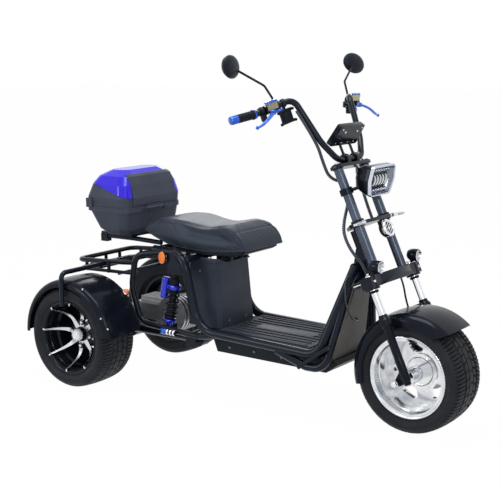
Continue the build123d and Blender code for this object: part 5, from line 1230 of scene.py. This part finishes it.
side_facing = np.clip((np.abs(out[:, 1]) - 0.3) / 0.3, 0, 1)
trough = (seam(rear_seam, 2.6, 3.4) + seam(rim_seam, 1.2, 2.6)) * side_facing
trough += seam(front_seam, 1.7, 3.0) * (out[:, 2] > -0.5)
x, y, z = mm.T
wave = 0.21 * np.sin(x / 19.0) * np.sin(y / 23.0 + 1.0) + 0.15 * np.sin(z / 11.0 + x / 31.0)
put_points(mesh, (mm - (trough + wave * (out[:, 2] > -0.3))[:, None] * out) / 1000)
mesh.shade_smooth()
mesh.materials.clear()
mesh.materials.append(seat_leather)
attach(seat_pad, "seat")
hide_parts("seat_cushion")
print("seat cover", len(mesh.polygons), "faces, deepest seam", round(float(trough.max()), 1), "mm")

# %% stitches
STITCH_GAP, STITCH_HALF = 8.0, 2.2
surface = BVHTree.FromPolygons([tuple(v.co) for v in mesh.vertices], [tuple(p.vertices) for p in mesh.polygons])
stitches = []
for line, shift in ((rear_seam, 6.0), (front_seam, -6.0), (front_seam, 6.0)):
    along = run_along(line)
    for s in np.arange(STITCH_GAP, along[-1] - STITCH_GAP, STITCH_GAP):
        spot, ahead = (np.array([np.interp(d, along, line[:, k]) for k in (0, 1)]) for d in (s, s + 2))
        ahead = unit(ahead - spot)
        spot = (spot + shift * np.array([-ahead[1], ahead[0]])) / 1000
        for side in SIDES:
            hit, normal = surface.ray_cast((spot[0], side * 0.3, spot[1]), (0, -side, 0), 0.3)[:2]
            if hit is None or abs(normal.y) < 0.3:
                continue
            normal = np.array(normal)
            way = np.array([ahead[0], 0, ahead[1]])
            way = unit(way - normal * (way @ normal)) * STITCH_HALF
            at = np.array(hit) * 1000 + 0.15 * normal
            stitches.append(tube([at - way, at, at + way], [0.35, 0.75, 0.35], 6, ref=normal))
thread = finish("seat_thread", (0.11, 0.12, 0.14), (0.08, 0.09, 0.11), 0.7, grain=2600, bump=0.2)
piece("seat_stitches", stitches, thread, "seat")
print("seat with", len(stitches), "stitches")

# %% [markdown]
# Under the cushion a shaped board shows as a dark edge, and the moulding below it ends in
# a soft lip. The board's top follows the cushion: a ray shot straight up at each step
# along the seat finds the underside, and one rounded section is carried along it.

# %% seat board and cowl lip
steps = np.linspace(-384, 4, 40)
rise = []
for x in steps:
    hit = surface.ray_cast((x / 1000, 0.03, 0.5), (0, 0, 1), 0.4)[0]
    rise.append(hit.z * 1000 if hit else rise[-1])
section = np.array([(-118, 2), (118, 2), (124, -3), (124.5, -12), (121, -17.5), (114, -20), (-114, -20),
                    (-121, -17.5), (-124.5, -12), (-124, -3)])
taper = np.clip(np.minimum(steps + 396, 14 - steps) / 26, 0.3, 1) ** 0.5
board = np.stack([np.stack([np.full(len(section), x), section[:, 0] * (0.94 + 0.06 * g), z + 1 + section[:, 1] * g],
                           axis=1) for x, z, g in zip(steps, rise, taper)])
piece("seat_board", skin(board, wrap_cols=True, capped=True), dark_plastic, "seat", 40)
cowl_low, cowl_high = (1000 * np.array(p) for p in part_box("seat_cowl"))


def cowl_ring(inset, z):
    """Outline of the moulding's top edge, drawn in, at a height."""
    half, front, rear, turn = 114 - inset, -136 - inset, cowl_low[0] + inset + 0.5, 16
    edge = round_polygon([(rear, -half), (front - turn, -half), (front, -half + turn), (front, half - turn),
                          (front - turn, half), (rear, half)], 3)
    return np.c_[edge, np.full(len(edge), z)]


lip = np.stack([cowl_ring(*row) for row in ((-0.6, 577), (-1.6, 580), (-1.6, 597), (0.5, 601), (4, 601), (5, 597),
                                            (5, 580), (3, 577))])
piece("cowl_lip", skin(lip, wrap_rows=True, wrap_cols=True), cowl_plastic, "frame", 40)
print("board follows the seat from", round(rise[0]), "to", round(rise[-1]), "mm high")

# %% [markdown]
# Fasteners finish the frame: nuts at the pivots, bolts where the fenders, the battery case
# and the moulding are held, and an amber lamp on each fender. A bolt is placed by a point
# and a direction, so a table of those gives them all.

# %% bolts and fender lamps
FENDER_R, FENDER_Y, COWL_SLOPE = 266, 246, 14 / 288
lamp_way = unit([0.68, 0, 0.733])
fixings, fender_bolts, warning = [], [], []
for s in SIDES:
    out = s * Y
    fixings += [cap_bolt((x, 135 * s, z), out, high=4) for x, z in ((-60, 228), (70, 230), (210, 228), (330, 228))]
    fixings += [cap_bolt((x, (127.5 - COWL_SLOPE * (z - 298)) * s, z), out, high=4)
                for x, z in ((-240, 330), (-236, 540))]
    fixings += [cap_bolt((x, 152 * s, 302), Z, high=3.5) for x in (-98, 350)]
    low, axis, length = shock_line(s)
    fixings += [bolt(spot + 15.5 * out, out, 9, 7) for spot in (low, low + axis * length)]
    fixings.append(cap_bolt((cowl_high[0] - 4, 60 * s, 322), X, 6, 4))
    fender_bolts += [cap_bolt((x, 446.5 * s, z), out, 4.5, 3.5) for x, z in ((-624, 468), (-519, 352), (-480, 312))]
    foot = rear_axle_at["left"] * [1, 0, 1] + FENDER_Y * out + FENDER_R * lamp_way
    fender_bolts.append(lathe([(0, -2), (15, -2), (16, 0), (16, 4), (14, 6), (0, 6)], foot, lamp_way, 32))
    warning.append(lathe([(0, 18), (6, 17), (11, 13), (13, 7), (13, 4), (0, 4)], foot, lamp_way, 32))
zinc = finish("dark_zinc", (0.2, 0.21, 0.23), (0.13, 0.14, 0.16), 0.34, 0.08, metal=0.9)
piece("frame_bolts", fixings, zinc, "frame")
piece("fender_bolts", fender_bolts, chrome, "frame")
piece("fender_lamps", warning, amber, "frame")
print("fixings", len(fixings))

# %% [markdown]
# A folding peg is a bright knob on a dark core with three chrome rings. A reflector is an
# oval dome with a sunk ring in its face, in a black cup on a bent arm. Both are made once
# per side.

# %% pegs and reflectors
a = np.linspace(0, 2 * np.pi, 40, endpoint=False)
circle = np.stack([np.cos(a), np.sin(a)], axis=1)
knobs, rings, cores, domes, cups = [], [], [], [], []
for s in SIDES:
    at = np.array([-335.0, 219 * s, 272])
    knobs.append(lathe([(0, -43), (8, -43), (12, -39), (13, -32), (13, -16), (11, -12), (0, -12)], at, X, 32))
    rings += [lathe([(6, k - 6), (11, k - 6), (12.8, k - 3), (12.8, k + 3), (11, k + 6), (6, k + 6)], at, X, 32)
              for k in (-4, 14, 32)]
    cores += [tube([at + [-14, 0, 0], at + [40, 0, 0]], 7.5, 16, ref=Z),
              tube([at + [35, -30 * s, 0], at + [35, 0, 0]], 7.5, 16, ref=Z)]
    at = np.array([-372, 206.0 * s, 598])
    domes.append(outline_rows(circle * [18, 27], (X, Z, s * Y), at, (
        (1, 1), (1, 5), (0.96, 7.4), (0.8, 8.8), (0.78, 8.0), (0.6, 8.6), (0.58, 8.0), (0.35, 8.8), (0.1, 9))))
    cups += [outline_rows(circle * [20, 29.5], (X, Z, s * Y), at, ((0.8, -3), (1, -1), (1, 3), (0.94, 4), (0.8, 3))),
             tube([at + [0, -38 * s, 14], at + [0, -16 * s, 12], at + [0, 0, 6]], 6, 14, ref=X)]
piece("peg_knobs", knobs, azure, "frame", hides="pillion_pegs")
piece("peg_rings", rings, chrome, "frame")
piece("peg_cores", cores, gloss_black, "frame")
piece("reflector_lenses", domes, amber, "frame", hides="reflectors")
piece("reflector_backs", cups, gloss_black, "frame")
print("two pegs and two reflectors")

# %% [markdown]
# The foot board has a smooth strip down its middle and a rolled rim on each side. Behind
# the motor lies its controller, a case with cooling ribs. The top box gets two clasps
# with a lock each.

# %% deck strips, controller and box clasps
CLASP_X, CLASP_Y, LOCK_Z = -846, 120, 766
strips = [pad(rounded(300, 58, 12), 3.4, 1.4, LEVEL, (146, 0, 303.2))]
strips += [pad(rounded(452, 10, 4.9), 6.5, 2, LEVEL, (129, 156 * s, 301.5)) for s in SIDES]
fins = [pad(rounded(150, 3.2, 1.5), 13, 1, LEVEL, (-570, y, 352)) for y in range(-48, 49, 8)]
fins.append(pad(rounded(156, 110, 10), 20, 3, LEVEL, (-570, 0, 333)))
clasps, locks = [], []
for y in (-CLASP_Y, CLASP_Y):
    lock_at = (CLASP_X, y, LOCK_Z)
    clasps += [pad(rounded(34, 46, 6), 5, 2, FACING_BACK, (CLASP_X, y, LOCK_Z + 12)),
               pad(rounded(26, 20, 5), 9, 3, FACING_BACK, lock_at)]
    locks += [lathe([(0, 9.6), (5, 9.6), (6, 8.4), (6, 4), (0, 4)], lock_at, -X, 24),
              pad(rounded(2, 7, 0.9), 0.8, 0.3, FACING_BACK, (CLASP_X - 9.4, y, LOCK_Z))]
strip_rubber = finish("deck_strip", (0.022, 0.027, 0.04), (0.016, 0.02, 0.03), 0.5, 0.08, grain=1100, bump=0.3,
                      shine=0.3)
case_grey = finish("controller_grey", (0.58, 0.59, 0.61), (0.45, 0.46, 0.48), 0.42, 0.08, metal=0.4, bump=0.2)
piece("deck_strips", strips, strip_rubber, "frame")
piece("controller_case", fins, case_grey, "frame")
piece("box_clasps", clasps, dark_plastic, "box_lid")
piece("box_locks", locks, chrome, "box_lid")
print("box fittings made")
